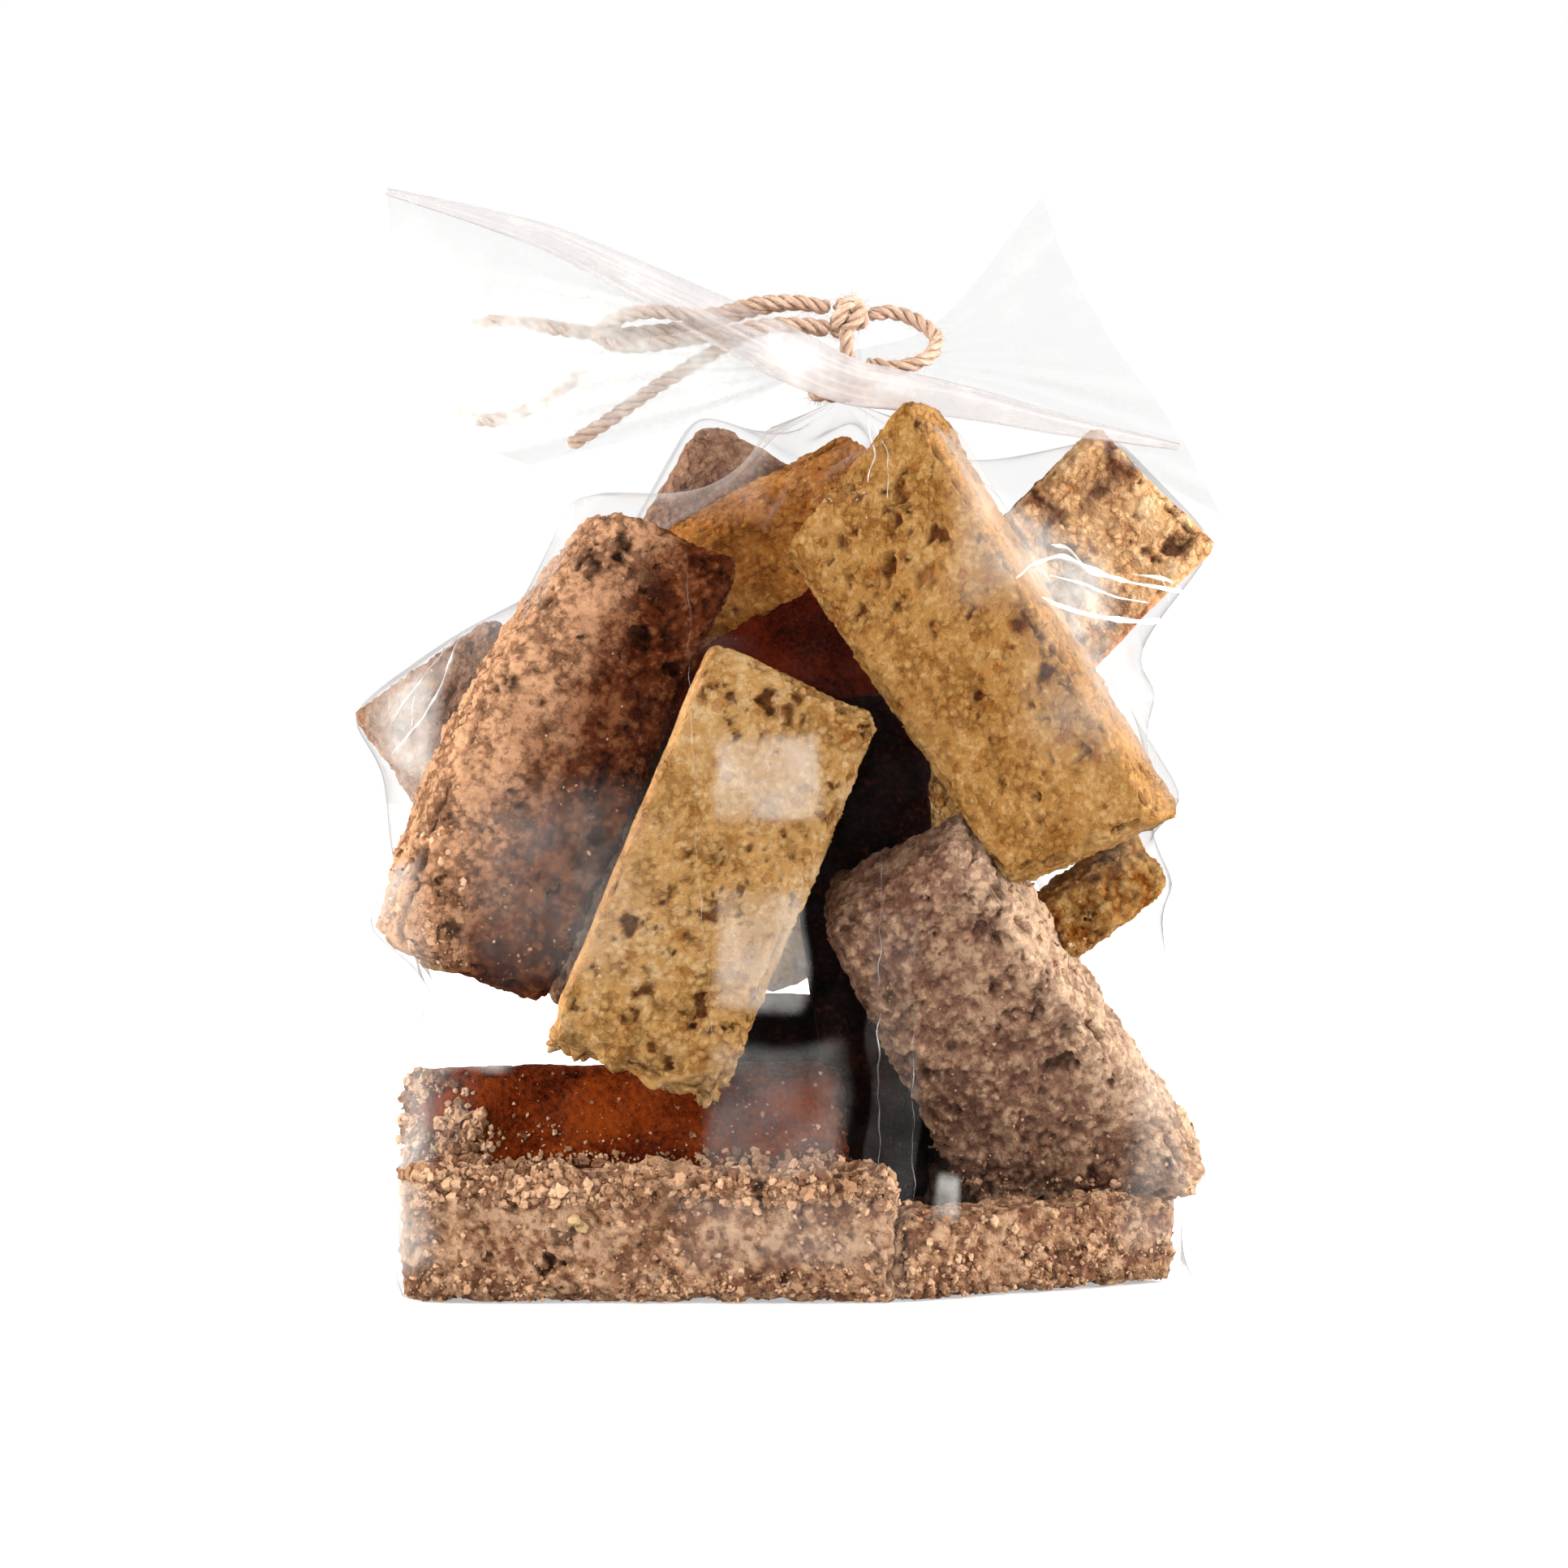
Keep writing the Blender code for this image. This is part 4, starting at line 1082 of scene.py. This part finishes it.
# Each fold is a slim raised ridge laid on the front of the film, painted white as its highlight.
def makeFolds(body):
    tree = BVHTree.FromObject(body, bpy.context.evaluated_depsgraph_get())
    parts, paintedHighlights = [], []
    for halfWidth, paintedHighlight, points in folds.values():
        steps = max(8, round(lengthOf(np.array(points)) / foldForm["step"]))
        laid, widths = [], []
        for k, (x, y, z) in enumerate(smoothPath([(x, 0.0, z) for x, z in points], steps)):
            x += wobble(x * 0.25, halfWidth * 40, z * 0.25) * foldForm["wander"]
            hit = tree.ray_cast(Vector((x, -200, z)) * mm, Vector((0, 1, 0)))[0]
            if hit:
                laid.append(np.array(hit) / mm)
                swell = 0.55 + 0.6 * wobble(k * 0.21, halfWidth * 90)
                widths.append(halfWidth * max(0.12, swell * sin(pi * k / steps) ** 0.4))
        if len(laid) < 3:
            continue
        laid, widths = np.array(laid), np.array(widths)[:, None]
        heading = unit(np.gradient(laid[:, [0, 2]], axis=0))
        side = np.stack([-heading[:, 1], np.zeros(len(laid)), heading[:, 0]], axis=-1)
        lift = np.array((0.0, -1.0, 0.0))
        rows = [
            laid + side * widths * across + lift * (widths * off + foldForm["lift"])
            for across, off in foldForm["profile"]
        ]
        parts.append((np.stack(rows, axis=1).reshape(-1, 3), gridFaces(len(laid), len(rows))))
        paintedHighlights += [paintedHighlight] * (len(rows) * len(laid))
    material = filmMaterial("clear_film_fold", **filmLook["fold"], highlightPainted=True)
    addPiece("rusk_bag", "film_folds", *joined(parts), material, {"white": paintedHighlights})


makeFolds(makeFilm())
print("film ready")


ruffle = {"rows": 60, "columns": 130, "pleats": 7, "depth": 1.05, "unevenness": 1.2}
leftWing = [
    [(8.3, -0.6, 178), (8.3, -0.6, 178.7), (8.3, -0.6, 179.4)],
    [(1.5, -9.6, 174), (1, -10, 176.5), (0.5, -11, 179.5)],
    [(-20, -11, 165), (-28, -11.5, 176), (-34, -13.5, 194)],
    [
        (-50, -13, 157), (-69.5, -15, 165), (-73, -15, 177), (-73, -15, 190),
        (-75.5, -15, 199), (-76.6, -15, 209),
    ],
]
rightWing = [
    [(11.5, 0.8, 179.4), (11.5, 0.8, 178.4), (11.5, 0.8, 177.4)],
    [(29, 6, 186), (37, 6, 180), (41, 3, 174), (42, 0, 169)],
    [(49, 11, 210.5), (54, 10, 197), (63, 7, 181), (74, 1, 165), (82.5, -5, 148)],
]
mouth = {
    "centres": [
        (-76.6, -15, 208.6), (-58, -15.5, 203.5), (-43, -15, 198.5), (-21, -14, 188), (-5, -13.5, 180),
        (10, -12.5, 173.2), (20, -13, 171.2), (36, -11, 168.4), (52, -7, 165), (75, -0.5, 161),
    ],
    "heights": [1.4, 3.0, 5.5, 9.0, 10.5, 9.5, 7.0, 5.0, 3.0, 1.4],
    "depth": 2.3,
    "folds": 5,
    "foldDepth": 0.16,
    "steps": 120,
    "sides": 32,
}


def wingPiece(name, guides, phase, material):
    rows, columns = ruffle["rows"], ruffle["columns"]
    lines = np.array([smoothPath(guide, columns) for guide in guides])
    fan = np.array([smoothPath(lines[:, column], rows) for column in range(columns + 1)])
    fan = fan.transpose(1, 0, 2)
    for row in range(rows + 1):
        out = row / rows
        for column in range(columns + 1):
            share = column / columns
            swing = sin(2 * pi * ruffle["pleats"] * share + phase)
            swing += ruffle["unevenness"] * wobble(share * 9.0, out * 1.5, phase)
            fan[row, column, 1] += ruffle["depth"] * swing * out
    addPiece("film_ruffle", name, fan.reshape(-1, 3), gridFaces(rows + 1, columns + 1), material)


def mouthPiece():
    steps, sides = mouth["steps"], mouth["sides"]
    path = smoothPath(mouth["centres"], steps)
    tall = smoothPath([(height, 0, 0) for height in mouth["heights"]], steps)[:, 0]
    ahead = np.gradient(path, axis=0)
    upward = unit(np.stack([-ahead[:, 2], np.zeros(steps + 1), ahead[:, 0]], axis=-1))
    points = np.zeros((steps + 1, sides, 3))
    for k in range(steps + 1):
        for side in range(sides):
            angle = 2 * pi * side / sides
            fold = 1 + mouth["foldDepth"] * sin(mouth["folds"] * angle + k * 0.05)
            fold += 0.1 * wobble(k * 0.04, angle * 2)
            deep = mouth["depth"] * (0.3 + 0.7 * tall[k] / max(mouth["heights"])) * fold
            points[k, side] = path[k] + upward[k] * tall[k] / 2 * sin(angle)
            points[k, side, 1] += deep * cos(angle)
    height = np.sin(2 * pi * np.arange(sides) / sides) * 0.5 + 0.5
    marks = {"along": np.repeat(alongOf(path), sides), "across": np.tile(height, steps + 1)}
    material = filmMaterial("clear_film_mouth", **filmLook["mouth"], patches=mouthPaintedReflections, streaks=True)
    faces = gridFaces(steps + 1, sides, wrap=True)
    addPiece("film_ruffle", "film_mouth", points.reshape(-1, 3), faces, material, marks)


ruffleFilm = filmMaterial("clear_film_ruffle", **filmLook["ruffle"], patches=wingPaintedReflections)
wingPiece("film_wing_left", leftWing, 0.4, ruffleFilm)
wingPiece("film_wing_right", rightWing, 1.7, ruffleFilm)
mouthPiece()
print("ruffle ready")


studio = {
    "floorColour": (0.95, 0.95, 0.95, 1),
    "floorGlow": 0.75,  # seen by the camera alone
    "floorMirrored": (0.02, 0.02, 0.02, 1),  # what the film mirrors of it
    "floorReach": 3000.0,
    "around": 0.42,  # light that falls in from everywhere
    "seen": 1.0,  # the backdrop itself
    "walls": 0.95,  # what the film mirrors from the sides and the back
    "front": 0.01,  # and from the front
    "lamps": [  # name, place, aimed at, size, power, colour
        ("left", (-720, -270, 300), (0, 0, 90), 420, 11.2, (1.0, 0.98, 0.95)),
        ("right", (720, -240, 330), (0, 0, 90), 420, 11.2, (1.0, 0.99, 0.97)),
        ("front", (-150, -800, 760), (0, 0, 90), 300, 3.4, (1.0, 1.0, 1.0)),
        ("back", (100, 800, 560), (0, 0, 100), 600, 6.0, (1.0, 1.0, 1.0)),
    ],
}


def makeBackdrop():
    g = Graph(bpy.data.worlds.new("studio"))
    bpy.context.scene.world = g.owner
    path = g.node("LightPath", output="Is Camera Ray")
    direction = g.node("TexCoord", output="Generated")
    towards = g.node("SeparateXYZ", {}, {0: direction}, output=1)
    walls = studio["front"] + g.ease(towards, -0.15, 0.35) * (studio["walls"] - studio["front"])
    strength = studio["around"] + path * (studio["seen"] - studio["around"])
    strength = strength + path.also("Is Glossy Ray") * (walls - studio["around"])
    shade = g.node("Background", {}, {"Color": (1, 1, 1, 1), "Strength": strength})
    g.node("OutputWorld", {}, {"Surface": shade})


def makeFloor():
    g = Graph(bpy.data.materials.new("studio_floor"))
    path = g.node("LightPath", output="Is Camera Ray")
    matt = g.node("BsdfDiffuse", {}, {"Color": studio["floorColour"]})
    glow = g.node("Emission", {}, {"Color": (1, 1, 1, 1), "Strength": studio["floorGlow"]})
    lit = g.mixed(path, matt, g.node("AddShader", {}, {0: matt, 1: glow}))
    black = g.node("BsdfDiffuse", {}, {"Color": studio["floorMirrored"]})
    white = g.finished(g.mixed(path.also("Is Glossy Ray"), lit, black))
    wide = studio["floorReach"]
    corners = [(-wide, -wide, 0), (wide, -wide, 0), (wide, wide, 0), (-wide, wide, 0)]
    addMesh("studio_floor", corners, [(0, 1, 2, 3)], white, smooth=False)


def makeStudio():
    makeBackdrop()
    makeFloor()
    for name, place, target, size, power, colour in studio["lamps"]:
        data = bpy.data.lights.new(name, "AREA")
        data.shape = "SQUARE"
        data.size = size * mm
        data.energy = power
        data.color = colour
        lamp = linked(name, data)
        lamp.visible_glossy = False
        lamp.location = Vector(place) * mm
        lamp.rotation_euler = (Vector(place) - Vector(target)).to_track_quat("Z", "Y").to_euler()
    bpy.context.scene.view_settings.view_transform = "Standard"


makeStudio()
print("studio ready")
